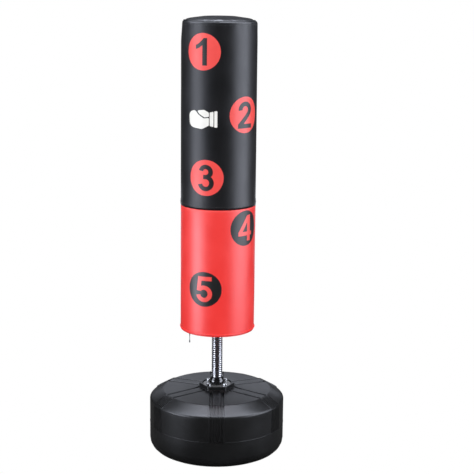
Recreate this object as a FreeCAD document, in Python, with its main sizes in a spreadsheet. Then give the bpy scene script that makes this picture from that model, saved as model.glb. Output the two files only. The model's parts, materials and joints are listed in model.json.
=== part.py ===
import FreeCAD, Part
import math
import os

import Sketcher
from FreeCAD import Placement, Rotation, Vector

# Free-standing boxing bag: a ballast tank, a coil-spring neck and a padded bag with a zipped cover.
# Frame: +Z up, origin under the centre of the tank, -Y is the side that the numbered targets face.

# ---------------------------------------------------------------- driving dimensions, millimetres
DIMENSIONS = {
    # ballast tank
    "tank_radius": 277, "tank_wall": 6, "foot_rounding": 62, "parting_height": 116, "parting_bead": 1.2,
    "wall_top": 220, "shoulder_radius": 221, "shoulder_height": 252.5, "crown_height": 262,
    "edge_rounding": 9, "rib_count": 6, "rib_width": 60, "rib_pad_proud": 0.9, "flute_proud": 2.4,
    "flute_count": 6, "flute_width": 6, "top_groove_width": 7, "top_groove_depth": 3, "rib_top_width": 52,
    "hub_circumradius": 74, "hub_top": 276, "hub_recess_radius": 60, "hub_recess_floor": 269,
    "hub_block_bottom": 245, "sand_level": 165, "sand_gap": 0.5,
    # filler on the rear shoulder
    "filler_rim_radius": 30.5, "filler_rim_proud": 0.8, "filler_well_radius": 27, "filler_seat_depth": 9.5,
    "filler_neck_depth": 26, "filler_hole_radius": 17.5,
    "cap_radius": 23, "cap_height": 8, "cap_stem_radius": 17.1, "cap_stem_length": 12,
    "gasket_thickness": 2, "gasket_radius": 21.5, "gasket_bore": 17.4,
    # anchor at the middle of the tank
    "plate_radius": 58, "plate_thickness": 4, "bolt_circle": 96, "bolt_shank": 4.9, "bolt_head": 9.8,
    "bolt_head_height": 6.4, "washer_radius": 10, "washer_thickness": 2, "insert_radius": 8,
    "insert_bore": 5, "insert_length": 17,
    # spring neck
    "spring_mean": 18.5, "spring_wire": 4, "spring_pitch": 8.4, "spring_start": 282.2, "spring_rise": 242.6,
    "spigot_radius": 14.2, "spigot_flange": 22, "spigot_flange_height": 5, "lower_spigot_top": 332,
    "upper_spigot_bottom": 488, "clamp_bore": 22.8, "clamp_radius": 25.9, "clamp_height": 10,
    "lower_clamp_bottom": 279, "upper_clamp_bottom": 517, "clamp_slot": 4,
    "ball_radius": 30.75, "ball_wall": 2.5, "ball_centre": 283, "ball_seam": 0.8, "ball_mouth": 23,
    "ball_mouth_top": 305.5, "ball_lip_wall": 1.2, "ball_lip_rise": 4,
    # core of the bag
    "board_radius": 140, "board_bottom": 518, "board_thickness": 12, "board_hole": 30,
    "socket_radius": 75.5, "socket_floor": 4, "socket_rim": 3, "socket_height": 44,
    "socket_bolt_circle": 120, "small_shank": 3.9, "small_head": 7.5, "small_head_height": 5.3,
    "nut_height": 6.5, "counterbore_radius": 11, "tube_wall": 4, "tube_gap": 0.5, "tube_top": 1738,
    "screw_height": 556, "screw_shank": 2.5, "screw_head": 5, "screw_head_height": 2.4,
    "core_cap_thickness": 4, "core_cap_spigot": 12, "foam_bore": 83, "foam_radius": 136,
    "foam_gap": 0.4, "wrap_radius": 147.6,
    # cover of the bag
    "bag_radius": 150, "cover_wall": 1.8, "bag_bottom": 513, "junction_height": 1030, "rim_height": 1757,
    "rim_rounding": 8, "seam_radius": 141, "dome_height": 1776, "hem_height": 16, "hem_proud": 1.3,
    "piping_radius": 1.6, "bottom_piping_height": 523, "grommet_bore": 26, "grommet_radius": 31,
    "grommet_thickness": 5, "patch_radius": 71, "patch_thickness": 0.5, "patch_gap": 0.15,
    # zip around the underside
    "zip_radius": 136, "zip_gap": 2, "zip_tooth_width": 2, "zip_tooth_bottom": 512.8,
    "zip_tooth_height": 1.8, "zip_margin": 0.5, "zip_run": 300, "zip_end": 6,
    "slider_plate": 1.6, "slider_length": 12, "slider_clear": 0.6, "slider_web": 1,
    "crown_drop": 6, "crown_bar": 0.9, "pull_axis_drop": 3.2, "pull_eye": 2.6, "pull_bore": 1.5,
    "pull_width": 7, "pull_thickness": 1.6, "pull_length": 36,
}
PATCHES = {  # name: (degrees to the right of the front, height of the centre)
    "target_1": (-25, 1644),
    "target_2": (43, 1401),
    "target_3": (-19.5, 1157),
    "target_4": (46, 951),
    "target_5": (-21, 709),
}
FILLER_BEARING = 150  # degrees from the front, between two ribs at the back
SLIDER_BEARING = -55  # where the slider rests when the zip is closed
LONG = 900  # length of a cutting block that has to run right through


class Dim:
    """A length that knows its number and the spreadsheet expression behind it."""

    def __init__(self, value, text):
        self.value = float(value)
        self.text = text

    def join(self, sign, other, result):
        other_text = other.text if isinstance(other, Dim) else repr(other)
        return Dim(result, f"({self.text} {sign} {other_text})")

    def __add__(self, other):
        return self.join("+", other, self.value + number(other))

    def __sub__(self, other):
        return self.join("-", other, self.value - number(other))

    def __mul__(self, other):
        return self.join("*", other, self.value * number(other))

    def __truediv__(self, other):
        return self.join("/", other, self.value / number(other))

    def __neg__(self):
        return Dim(-self.value, f"(0 - {self.text})")


def number(size):
    return size.value if isinstance(size, Dim) else float(size)


def angle_of(rise, run):
    """The slope of a line as an angle in degrees."""
    return Dim(math.degrees(math.atan2(rise.value, run.value)), f"atan({rise.text} / {run.text})")


class Sizes:
    """Reads a driving dimension by its alias."""

    def __getattr__(self, alias):
        return Dim(DIMENSIONS[alias], f"Sizes.{alias}")


doc = FreeCAD.newDocument("boxing_bag")
sheet = doc.addObject("Spreadsheet::Sheet", "Sizes")
for row, (alias, millimetres) in enumerate(DIMENSIONS.items(), start=1):
    sheet.set(f"A{row}", alias)
    sheet.set(f"B{row}", str(millimetres))
    sheet.setAlias(f"B{row}", alias)
doc.recompute()
d = Sizes()
nodes = []


# ---------------------------------------------------------------- building helpers
def bind(item, prop, size):
    """Give a property its number, and its expression if the size is a driven one."""
    if isinstance(size, Dim):
        item.setExpression(prop, size.text)
    elif "." not in prop:
        setattr(item, prop, size)
    return item


def stand(item, x=0, y=0, z=0, turn=None):
    """Place a primitive, with its position bound to the sheet where that is driven."""
    item.Placement = Placement(Vector(number(x), number(y), number(z)), turn or Rotation())
    for axis, size in zip("xyz", (x, y, z)):
        if isinstance(size, Dim):
            item.setExpression(f"Placement.Base.{axis}", size.text)
    return item


def cylinder(name, radius, height, **place):
    item = doc.addObject("Part::Cylinder", name)
    bind(item, "Radius", radius)
    bind(item, "Height", height)
    return stand(item, **place)


def hexagon(name, circumradius, height, **place):
    item = doc.addObject("Part::Prism", name)
    item.Polygon = 6
    bind(item, "Circumradius", circumradius)
    bind(item, "Height", height)
    return stand(item, **place)


def block(name, length, width, height, **place):
    item = doc.addObject("Part::Box", name)
    bind(item, "Length", length)
    bind(item, "Width", width)
    bind(item, "Height", height)
    return stand(item, **place)


def fuse(name, pieces):
    item = doc.addObject("Part::MultiFuse", name)
    item.Shapes = pieces
    return item


def common(name, pieces):
    item = doc.addObject("Part::MultiCommon", name)
    item.Shapes = pieces
    return item


def cut(name, base, tool):
    item = doc.addObject("Part::Cut", name)
    item.Base = base
    item.Tool = tool
    return item


def group(name, pieces):
    item = doc.addObject("Part::Compound", name)
    item.Links = pieces
    return item


def node(name, item):
    """Keep an object as a sub-part of the product."""
    item.Label = name
    nodes.append(item)
    return item


def around(angle_deg, radius):
    """A point on a circle, at a bearing measured from +X."""
    angle = math.radians(angle_deg)
    return radius * round(math.cos(angle), 9), radius * round(math.sin(angle), 9)


def bearing(from_front):
    """Turn degrees to the right of the front into degrees from +X."""
    return from_front - 90


def outwards(angle_deg):
    """A rotation that lays a primitive's own axis along a radius."""
    return Rotation(Vector(0, 0, 1), Vector(*around(angle_deg, 1.0), 0))


def fasteners(circle, count=4, first=45):
    """The x and y of each fastener on a bolt circle."""
    return [around(first + i * 360 / count, circle / 2) for i in range(count)]


# ---------------------------------------------------------------- sketches
def corner_arc(before, here, after, radius):
    """Tangent points and centre of a rounding, from plain numbers."""
    back = (before - here).normalize()
    ahead = (after - here).normalize()
    half = back.getAngle(ahead) / 2
    reach = radius / math.tan(half)
    middle = (back + ahead).normalize()
    return here + back * reach, here + ahead * reach, here + middle * (radius / math.sin(half))


def pin_point(sketch, geometry, position, x, y):
    """Fix a point of a sketch at a driven place."""
    for kind, size, axis in (("DistanceX", x, -2), ("DistanceY", y, -1)):
        if number(size) == 0:
            sketch.addConstraint(Sketcher.Constraint("PointOnObject", geometry, position, axis))
            continue
        index = sketch.addConstraint(Sketcher.Constraint(kind, geometry, position, number(size)))
        if isinstance(size, Dim):
            sketch.setExpression(f"Constraints[{index}]", size.text)


def draw_outline(sketch, corners):
    """Draw a closed outline. A corner is (x, y) or (x, y, rounding), each a size or a number."""
    places = [Vector(number(c[0]), number(c[1]), 0) for c in corners]
    count = len(places)
    starts, ends, centres = [], [], []
    for i, corner in enumerate(corners):
        if len(corner) == 3:
            arc = corner_arc(places[i - 1], places[i], places[(i + 1) % count], number(corner[2]))
        else:
            arc = (places[i], places[i], None)
        ends.append(arc[0])
        starts.append(arc[1])
        centres.append(arc[2])
    for i in range(count):
        sketch.addGeometry(Part.LineSegment(starts[i], ends[(i + 1) % count]))
    for i, corner in enumerate(corners):
        if centres[i] is None:
            sketch.addConstraint(Sketcher.Constraint("Coincident", (i - 1) % count, 2, i, 1))
            pin_point(sketch, i, 1, corner[0], corner[1])
        else:
            round_corner(sketch, corner, (i - 1) % count, i, ends[i], starts[i], centres[i])


def round_corner(sketch, corner, line_in, line_out, first, last, centre):
    """Join two lines with a tangent arc whose sharp corner is pinned."""
    angles = [math.atan2(p.y - centre.y, p.x - centre.x) for p in (first, last)]
    turns_left = (angles[1] - angles[0]) % math.tau < math.pi
    begin, finish = angles if turns_left else angles[::-1]
    circle = Part.Circle(centre, Vector(0, 0, 1), number(corner[2]))
    arc = sketch.addGeometry(Part.ArcOfCircle(circle, begin, finish))
    sharp = sketch.addGeometry(Part.Point(Vector(number(corner[0]), number(corner[1]), 0)), True)
    pin_point(sketch, sharp, 1, corner[0], corner[1])
    sketch.addConstraint(Sketcher.Constraint("PointOnObject", sharp, 1, line_in))
    sketch.addConstraint(Sketcher.Constraint("PointOnObject", sharp, 1, line_out))
    arc_first, arc_last = (1, 2) if turns_left else (2, 1)
    sketch.addConstraint(Sketcher.Constraint("Tangent", line_in, 2, arc, arc_first))
    sketch.addConstraint(Sketcher.Constraint("Tangent", line_out, 1, arc, arc_last))
    radius = sketch.addConstraint(Sketcher.Constraint("Radius", arc, number(corner[2])))
    if isinstance(corner[2], Dim):
        sketch.setExpression(f"Constraints[{radius}]", corner[2].text)


def sketch_on(body, plane, corners):
    sketch = body.newObject("Sketcher::SketchObject", body.Name + "_outline")
    origin_plane = [f for f in body.Origin.OriginFeatures if f.Role == plane][0]
    sketch.AttachmentSupport = [(origin_plane, "")]
    sketch.MapMode = "FlatFace"
    draw_outline(sketch, corners)
    return sketch


def turned(name, corners, sweep=None):
    """A body turned about Z from an outline of radius and height."""
    body = doc.addObject("PartDesign::Body", name)
    sketch = sketch_on(body, "XZ_Plane", corners)
    revolution = body.newObject("PartDesign::Revolution", name + "_turn")
    revolution.Profile = sketch
    revolution.ReferenceAxis = (sketch, ["V_Axis"])
    if sweep is None:
        revolution.Angle = 360
    else:
        bind(revolution, "Angle", sweep)
    return body


def ring(name, bore, radius, bottom, top):
    """A turned ring of square section."""
    return turned(name, [(bore, bottom), (radius, bottom), (radius, top), (bore, top)])


def padded(name, plane, corners, length, midplane=False):
    """A body extruded from a flat outline."""
    body = doc.addObject("PartDesign::Body", name)
    sketch = sketch_on(body, plane, corners)
    pad = body.newObject("PartDesign::Pad", name + "_pad")
    pad.Profile = sketch
    pad.Midplane = midplane
    bind(pad, "Length", length)
    return body


# ---------------------------------------------------------------- ballast tank
def tank_outline(proud, bottom, top):
    """The tank's outer section, grown by the given amount on the wall and shoulder."""
    radius = d.tank_radius + proud
    return [
        (0, bottom),
        (radius, bottom),
        (radius, d.wall_top + proud, d.edge_rounding),
        (d.shoulder_radius - 2, top),
        (0, top),
    ]


def rib_bars(name, width, offset, bottom, height):
    """Blocks across the tank, one along each pair of opposite ribs."""
    bars = []
    for i in range(3):
        angle = bearing(0) + i * 60
        turn = Rotation(Vector(0, 0, 1), angle)
        shift = turn.multVec(Vector(-LONG / 2, number(offset) - number(width) / 2, 0))
        bars.append(block(f"{name}_{i}", LONG, width, height, x=shift.x, y=shift.y, z=bottom, turn=turn))
    return bars


def fluted_bands():
    """Raised bands down the shoulder and wall, each with parallel flutes."""
    rise = d.crown_height - d.parting_height
    pad_skin = turned("band_skin", tank_outline(d.rib_pad_proud, d.parting_height, d.shoulder_height))
    flute_skin = turned("flute_skin", tank_outline(d.flute_proud, d.parting_height + 6, d.shoulder_height))
    pads = rib_bars("band", d.rib_width, 0, d.parting_height, rise)
    flutes = []
    count = int(d.flute_count.value)
    pitch = (d.rib_width.value - d.flute_width.value) / (count - 1)
    for k in range(count):
        offset = (k - (count - 1) / 2) * pitch
        flutes += rib_bars(f"flute_{k}", d.flute_width, offset, d.parting_height, rise)
    bands = common("bands", [fuse("band_bars", pads), pad_skin])
    return [bands, common("flutes", [fuse("flute_bars", flutes), flute_skin])]


def top_grooves():
    """The two channels that edge each rib on the top face."""
    depth, inner, outer = d.top_groove_depth, d.hub_recess_radius, d.shoulder_radius + 2
    layer = turned("groove_layer", [
        (inner, d.crown_height - depth),
        (outer, d.shoulder_height - depth),
        (outer, d.crown_height + depth),
        (inner, d.crown_height + depth),
    ])
    bars = []
    for side in (-1, 1):
        offset = side * (d.rib_top_width.value - d.top_groove_width.value) / 2
        height = d.crown_height - d.wall_top
        bars += rib_bars(f"groove_{side + 1}", d.top_groove_width, offset, d.wall_top, height)
    return common("grooves", [fuse("groove_bars", bars), layer])


def tank_skin():
    bead = d.parting_bead
    return turned("tank_skin", [
        (0, 0),
        (d.tank_radius, 0, d.foot_rounding),
        (d.tank_radius, d.parting_height - bead),
        (d.tank_radius + bead / 2, d.parting_height - bead / 2),
        (d.tank_radius + bead / 2, d.parting_height + bead / 2),
        (d.tank_radius, d.parting_height + bead),
        (d.tank_radius, d.wall_top, d.edge_rounding),
        (d.shoulder_radius, d.shoulder_height, d.edge_rounding),
        (d.hub_recess_radius, d.crown_height),
        (0, d.crown_height),
    ])


def tank_cavity():
    wall = d.tank_wall
    inner = d.tank_radius - wall
    return turned("tank_cavity", [
        (0, wall),
        (inner, wall, d.foot_rounding - wall),
        (inner, d.wall_top - wall / 2),
        (d.shoulder_radius - wall / 2, d.shoulder_height - wall * 1.1),
        (d.hub_circumradius + wall, d.crown_height - wall * 1.1),
        (d.hub_circumradius, d.hub_block_bottom),
        (0, d.hub_block_bottom),
    ])


def filler_frame():
    """Where the filler stands on the rear shoulder: position and rotation."""
    angle = bearing(FILLER_BEARING)
    rise = d.shoulder_height - d.wall_top
    run = d.tank_radius - d.shoulder_radius
    radius = (d.tank_radius + d.shoulder_radius) / 2
    x, y = around(angle, radius)
    height = (d.shoulder_height + d.wall_top) / 2
    lean = angle_of(rise, run)
    return x, y, height, lean, angle


def on_filler(item):
    """Move a piece made about Z at the origin to the filler."""
    x, y, height, lean, angle = filler_frame()
    hinge = Vector(-math.sin(math.radians(angle)), math.cos(math.radians(angle)), 0)
    stand(item, x=x, y=y, z=height, turn=Rotation(hinge, lean.value))
    item.setExpression("Placement.Rotation.Angle", lean.text)
    return item


def base_tank():
    neck = on_filler(turned("filler_neck", [
        (d.filler_hole_radius, -d.filler_neck_depth),
        (d.filler_rim_radius, -d.filler_neck_depth),
        (d.filler_rim_radius, d.filler_rim_proud, 1),
        (d.filler_well_radius, d.filler_rim_proud, 1),
        (d.filler_well_radius, -d.filler_seat_depth),
        (d.filler_hole_radius, -d.filler_seat_depth),
    ]))
    opening = on_filler(ring("filler_opening", 0, d.filler_rim_radius - 1, -d.filler_neck_depth, 12))
    hub = hexagon("hub", d.hub_circumradius, d.hub_top - d.wall_top, z=d.wall_top)
    recess = cylinder("hub_recess", d.hub_recess_radius, 20, z=d.hub_recess_floor)
    outside = cut("grooved_skin", fuse("tank_outside", [tank_skin()] + fluted_bands()), top_grooves())
    hollow = cut("tank_hollow", fuse("tank_solid", [outside, hub]), tank_cavity())
    cuts = [opening, recess]
    for i, (x, y) in enumerate(fasteners(d.bolt_circle)):
        bottom = d.hub_recess_floor - d.insert_length
        cuts.append(cylinder(f"insert_seat_{i}", d.insert_radius + 0.1, 40, x=x, y=y, z=bottom))
    bored = cut("tank_bored", hollow, fuse("tank_cuts", cuts))
    node("base_tank", fuse("base_tank_shell", [bored, neck]))


def ballast_sand():
    gap = d.tank_wall + d.sand_gap
    inner = d.tank_radius - gap
    node("ballast_sand", turned("sand", [
        (0, gap),
        (inner, gap, d.foot_rounding - gap),
        (inner, d.sand_level),
        (0, d.sand_level),
    ]))


def filler_cap():
    """Screw cap with finger notches, and the rubber ring under its rim."""
    seat = -d.filler_seat_depth
    under = seat + d.gasket_thickness
    node("cap_gasket", on_filler(ring("gasket", d.gasket_bore, d.gasket_radius, seat + 0.1, under - 0.1)))
    top = under + d.cap_height
    head = turned("cap_blank", [
        (0, seat - d.cap_stem_length),
        (d.cap_stem_radius, seat - d.cap_stem_length),
        (d.cap_stem_radius, under),
        (d.cap_radius, under),
        (d.cap_radius, top, 2),
        (d.cap_stem_radius - 3, top),
        (d.cap_stem_radius - 4, top - 2.5),
        (0, top - 2.5),
    ])
    grip = block("cap_grip", (d.cap_stem_radius - 4) * 2, 5, 5.5, x=-(d.cap_stem_radius - 4), y=-2.5, z=top - 5.5)
    notches = []
    for i in range(12):
        x, y = around(i * 30, d.cap_radius + 1.2)
        notches.append(cylinder(f"cap_notch_{i}", 2.2, d.cap_height + 2, x=x, y=y, z=under - 1))
    cap = cut("cap_notched", head, fuse("cap_notches", notches))
    node("fill_cap", on_filler(fuse("cap", [cap, grip])))


# ---------------------------------------------------------------- anchor and neck
def bolt_set(name, circle, head, head_height, shank, seat, shank_length, first=45):
    """Hexagon bolts pointing down: heads stand on the seat height."""
    bolts = []
    for i, (x, y) in enumerate(fasteners(circle, first=first)):
        top = hexagon(f"{name}_head_{i}", head, head_height, x=x, y=y, z=seat)
        stem = cylinder(f"{name}_stem_{i}", shank, shank_length, x=x, y=y, z=seat - shank_length)
        bolts.append(fuse(f"{name}_{i}", [top, stem]))
    node(name, group(name + "_set", bolts))


def ring_set(name, circle, bore, radius, bottom, height, first=45, hexagonal=False):
    """Washers, inserts or nuts on a bolt circle."""
    rings = []
    for i, (x, y) in enumerate(fasteners(circle, first=first)):
        outer = hexagon if hexagonal else cylinder
        solid = outer(f"{name}_solid_{i}", radius, height, x=x, y=y, z=bottom)
        hole = cylinder(f"{name}_hole_{i}", bore, height, x=x, y=y, z=bottom)
        rings.append(cut(f"{name}_{i}", solid, hole))
    node(name, group(name + "_set", rings))


def drilled(name, blank, circle, radius, bottom, height, first=45):
    """Drill a turned blank on a bolt circle."""
    holes = []
    for i, (x, y) in enumerate(fasteners(circle, first=first)):
        holes.append(cylinder(f"{name}_drill_{i}", radius, height, x=x, y=y, z=bottom))
    return cut(name + "_drilled", blank, fuse(name + "_drills", holes))


def anchor():
    floor = d.hub_recess_floor
    top = floor + d.plate_thickness
    disc = turned("plate_disc", [
        (0, floor),
        (d.plate_radius, floor),
        (d.plate_radius, top, 1.2),
        (0, top),
    ])
    node("anchor_plate", drilled("plate", disc, d.bolt_circle, d.bolt_shank + 0.6, floor - 1, 8))
    ring_set("tank_inserts", d.bolt_circle, d.insert_bore, d.insert_radius,
             floor - d.insert_length + 0.5, d.insert_length - 1)
    ring_set("anchor_washers", d.bolt_circle, d.bolt_shank + 0.4, d.washer_radius, top, d.washer_thickness)
    bolt_set("anchor_bolts", d.bolt_circle, d.bolt_head, d.bolt_head_height, d.bolt_shank,
             top + d.washer_thickness, d.insert_length + 4)
    flange_top = top + d.spigot_flange_height
    node("lower_spigot", turned("spigot_low", [
        (0, top),
        (d.spigot_flange, top),
        (d.spigot_flange, flange_top, 2),
        (d.spigot_radius, flange_top),
        (d.spigot_radius, d.lower_spigot_top, 4),
        (0, d.lower_spigot_top),
    ]))


def split_clamp(name, bottom):
    """A round clamp with one slot, closed on the end coils of the spring."""
    band = ring(name + "_band", d.clamp_bore, d.clamp_radius, bottom, bottom + d.clamp_height)
    slot = block(name + "_slot", d.clamp_radius * 2, d.clamp_slot, d.clamp_height * 2,
                 y=-d.clamp_slot / 2, z=bottom - 2)
    node(name, cut(name + "_split", band, slot))


def ball_half(name, bottom, top, extra=None):
    """One half of the thin ball that hides the foot of the spring."""
    outer = doc.addObject("Part::Sphere", name + "_outer")
    inner = doc.addObject("Part::Sphere", name + "_inner")
    bind(outer, "Radius", d.ball_radius)
    bind(inner, "Radius", d.ball_radius - d.ball_wall)
    stand(outer, z=d.ball_centre)
    stand(inner, z=d.ball_centre)
    band = ring(name + "_slice", 0, d.ball_radius * 2, bottom, top)
    mouth = ring(name + "_mouth", 0, d.ball_mouth, d.ball_centre, d.ball_mouth_top + 6)
    shell = cut(name + "_shell", outer, fuse(name + "_inside", [inner, mouth]))
    half = common(name + "_half", [shell, band])
    node(name, fuse(name + "_whole", [half, extra]))


def ball_cover():
    plate_top = d.hub_recess_floor + d.plate_thickness
    low, high = d.ball_centre - d.ball_seam / 2, d.ball_centre + d.ball_seam / 2
    tongue_radius = d.ball_radius - d.ball_wall - 0.6
    lip = ring("ball_lip", tongue_radius - d.ball_lip_wall, d.ball_radius - 1, low - 2, low)
    tongue = ring("ball_tongue", tongue_radius - d.ball_lip_wall, tongue_radius, low - 0.5, low + d.ball_lip_rise)
    ball_half("ball_cover_lower", plate_top + 0.2, low, fuse("ball_lips", [lip, tongue]))
    collar = ring("ball_collar", d.ball_mouth, d.ball_mouth + 2, d.ball_mouth_top - 4, d.ball_mouth_top)
    ball_half("ball_cover_upper", high, d.ball_mouth_top, collar)


def neck_spring():
    helix = doc.addObject("Part::Helix", "spring_path")
    bind(helix, "Pitch", d.spring_pitch)
    bind(helix, "Height", d.spring_rise)
    bind(helix, "Radius", d.spring_mean)
    stand(helix, z=d.spring_start)
    section = doc.addObject("Part::Circle", "spring_section")
    bind(section, "Radius", d.spring_wire)
    stand(section, x=d.spring_mean, z=d.spring_start, turn=Rotation(Vector(1, 0, 0), 90))
    sweep = doc.addObject("Part::Sweep", "spring_sweep")
    sweep.Sections = [section]
    sweep.Spine = (helix, [])
    sweep.Solid = True
    sweep.Frenet = True
    node("neck_spring", sweep)


# ---------------------------------------------------------------- core of the bag
def bag_foot():
    """The board, the steel socket welded on the upper spigot, and their fasteners."""
    bottom = d.board_bottom
    top = bottom + d.board_thickness
    bore = turned("board_blank", [
        (d.board_hole, bottom),
        (d.board_radius, bottom, 2),
        (d.board_radius, top, 2),
        (d.board_hole, top),
    ])
    holes = drilled("board", bore, d.socket_bolt_circle, d.small_shank + 0.4, bottom - 1, 20, first=0)
    nut_seat = bottom + d.nut_height + 1
    node("bottom_board", drilled("board_bores", holes, d.socket_bolt_circle, d.counterbore_radius,
                                 bottom - 1, d.nut_height + 2, first=0))
    floor = top + d.socket_floor
    cup = turned("socket_blank", [
        (0, top),
        (d.socket_radius, top),
        (d.socket_radius, top + d.socket_height),
        (d.socket_radius - d.socket_rim, top + d.socket_height),
        (d.socket_radius - d.socket_rim, floor),
        (0, floor),
    ])
    holed = drilled("socket", cup, d.socket_bolt_circle, d.small_shank + 0.4, top - 1, 8, first=0)
    node("bag_socket", cut("socket_pierced", holed, screw_holes("socket")))
    bolt_set("socket_bolts", d.socket_bolt_circle, d.small_head, d.small_head_height, d.small_shank,
             floor, 15, first=0)
    ring_set("socket_nuts", d.socket_bolt_circle, d.small_shank + 0.1, d.small_head,
             nut_seat - d.nut_height, d.nut_height, first=0, hexagonal=True)
    node("upper_spigot", turned("spigot_high", [
        (0, d.upper_spigot_bottom),
        (d.spigot_radius, d.upper_spigot_bottom, 4),
        (d.spigot_radius, top),
        (0, top),
    ]))


def screw_holes(name):
    holes = []
    for i in range(4):
        turn = outwards(i * 90 + 45)
        holes.append(cylinder(f"{name}_screw_hole_{i}", d.screw_shank + 0.2, 120, z=d.screw_height, turn=turn))
    return fuse(name + "_screw_holes", holes)


def core():
    inner = d.socket_radius + d.tube_gap
    outer = inner + d.tube_wall
    bottom = d.board_bottom + d.board_thickness
    blank = ring("tube_blank", inner, outer, bottom, d.tube_top)
    node("core_tube", cut("tube_pierced", blank, screw_holes("tube")))
    screws = []
    for i in range(4):
        angle = i * 90 + 45
        x, y = around(angle, outer)
        sx, sy = around(angle, outer - 12)
        head = cylinder(f"screw_head_{i}", d.screw_head, d.screw_head_height,
                        x=x, y=y, z=d.screw_height, turn=outwards(angle))
        stem = cylinder(f"screw_stem_{i}", d.screw_shank, 13, x=sx, y=sy, z=d.screw_height, turn=outwards(angle))
        screws.append(fuse(f"screw_{i}", [head, stem]))
    node("core_screws", group("screw_set", screws))
    cap_top = d.tube_top + d.core_cap_thickness
    node("core_cap", turned("cap_core", [
        (0, d.tube_top),
        (inner - 7, d.tube_top),
        (inner - 7, d.tube_top - d.core_cap_spigot),
        (inner - 0.3, d.tube_top - d.core_cap_spigot),
        (inner - 0.3, d.tube_top),
        (outer, d.tube_top),
        (outer, cap_top, 1.5),
        (0, cap_top),
    ]))
    node("foam_core", ring("foam", d.foam_bore, d.foam_radius, bottom + d.foam_gap, d.tube_top))


def soft_layers():
    """The soft wrap around the foam and the pad over its end."""
    bottom = d.board_bottom + 2
    inside = d.bag_radius - d.cover_wall - d.foam_gap
    shoulder = d.rim_height - d.cover_wall - d.foam_gap
    node("foam_wrap", turned("wrap", [
        (d.foam_radius + d.foam_gap + 4, bottom),
        (inside, bottom, 6),
        (inside, shoulder, d.rim_rounding - 1),
        (d.foam_radius + d.foam_gap + 4, shoulder),
    ]))
    pad_bottom = d.tube_top + d.core_cap_thickness + d.foam_gap
    node("top_pad", turned("pad", [
        (0, pad_bottom),
        (d.foam_radius + 3, pad_bottom),
        (d.foam_radius + 3, shoulder - 1),
        (d.foam_radius - 60, d.dome_height - 9, 60),
        (0, d.dome_height - 4),
    ]))


# ---------------------------------------------------------------- cover of the bag
def covers():
    outer, inner = d.bag_radius, d.bag_radius - d.cover_wall
    seam, junction, rim = d.seam_radius, d.junction_height, d.rim_height
    node("cover_upper", turned("sleeve_black", [
        (inner, junction),
        (outer + d.hem_proud, junction),
        (outer + d.hem_proud, junction + d.hem_height),
        (outer, junction + d.hem_height + 4),
        (outer, rim, d.rim_rounding),
        (seam, rim),
        (seam, rim - d.cover_wall),
        (inner, rim - d.cover_wall, d.rim_rounding - d.cover_wall),
    ]))
    node("cover_top", turned("dome", [
        (0, d.dome_height - d.cover_wall),
        (d.foam_radius - 60, d.dome_height - 5 - d.cover_wall, 60),
        (seam - 2, rim - 1),
        (seam - 2, rim + 1),
        (d.foam_radius - 60, d.dome_height - 5, 60),
        (0, d.dome_height),
    ]))
    bottom = d.bag_bottom
    lip = d.zip_radius + d.zip_gap / 2 + d.zip_tooth_width + d.zip_margin
    node("cover_lower", turned("sleeve_red", [
        (inner, junction - 0.2),
        (inner, bottom + d.cover_wall, d.rim_rounding - d.cover_wall),
        (lip, bottom + d.cover_wall),
        (lip, bottom),
        (outer, bottom, d.rim_rounding),
        (outer, junction - 0.2),
    ]))
    edge = d.zip_radius - d.zip_gap / 2 - d.zip_tooth_width - d.zip_margin
    node("cover_bottom", ring("panel_red", d.grommet_bore + 1, edge, bottom, bottom + d.cover_wall))
    half = d.grommet_thickness / 2
    middle = bottom + d.cover_wall / 2
    node("hole_binding", turned("binding", [
        (d.grommet_bore, middle - half),
        (d.grommet_radius, middle - half, 1.4),
        (d.grommet_radius, bottom - 0.01),
        (d.grommet_bore + 0.99, bottom - 0.01),
        (d.grommet_bore + 0.99, bottom + d.cover_wall + 0.01),
        (d.grommet_radius, bottom + d.cover_wall + 0.01),
        (d.grommet_radius, middle + half, 1.4),
        (d.grommet_bore, middle + half),
    ]))


def torus(name, radius, section, height):
    item = doc.addObject("Part::Torus", name + "_cord")
    bind(item, "Radius1", radius)
    bind(item, "Radius2", section)
    node(name, stand(item, z=height))


def pipings():
    torus("top_piping", d.seam_radius - 0.4, d.piping_radius, d.rim_height + d.piping_radius + 0.08)
    ring_radius = d.bag_radius + d.piping_radius + 0.05
    torus("bottom_piping", ring_radius, d.piping_radius, d.bottom_piping_height)


def patches():
    """Round vinyl targets, each curved to the cover."""
    inner = d.bag_radius + d.patch_gap
    film = ring("film", inner, inner + d.patch_thickness, d.bag_bottom + 20, d.rim_height - 20)
    for name, (from_front, height) in PATCHES.items():
        angle = bearing(from_front)
        cutter = cylinder(name + "_disc", d.patch_radius, 200, z=height, turn=outwards(angle))
        node(name, common(name + "_film", [film, cutter]))


# ---------------------------------------------------------------- zip
def zip_turn(extra_deg):
    """Rotation that starts a partial ring at the slider's bearing."""
    return Rotation(Vector(0, 0, 1), bearing(SLIDER_BEARING) - extra_deg)


def zip_teeth(name, inner):
    bottom = d.zip_tooth_bottom
    top = bottom + d.zip_tooth_height
    sweep = d.zip_run + d.zip_end * 2
    outer = inner + d.zip_tooth_width
    chain = turned(name + "_chain", [(inner, bottom), (outer, bottom), (outer, top), (inner, top)], sweep)
    node(name, stand(chain, turn=zip_turn(d.zip_end.value)))


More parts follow.
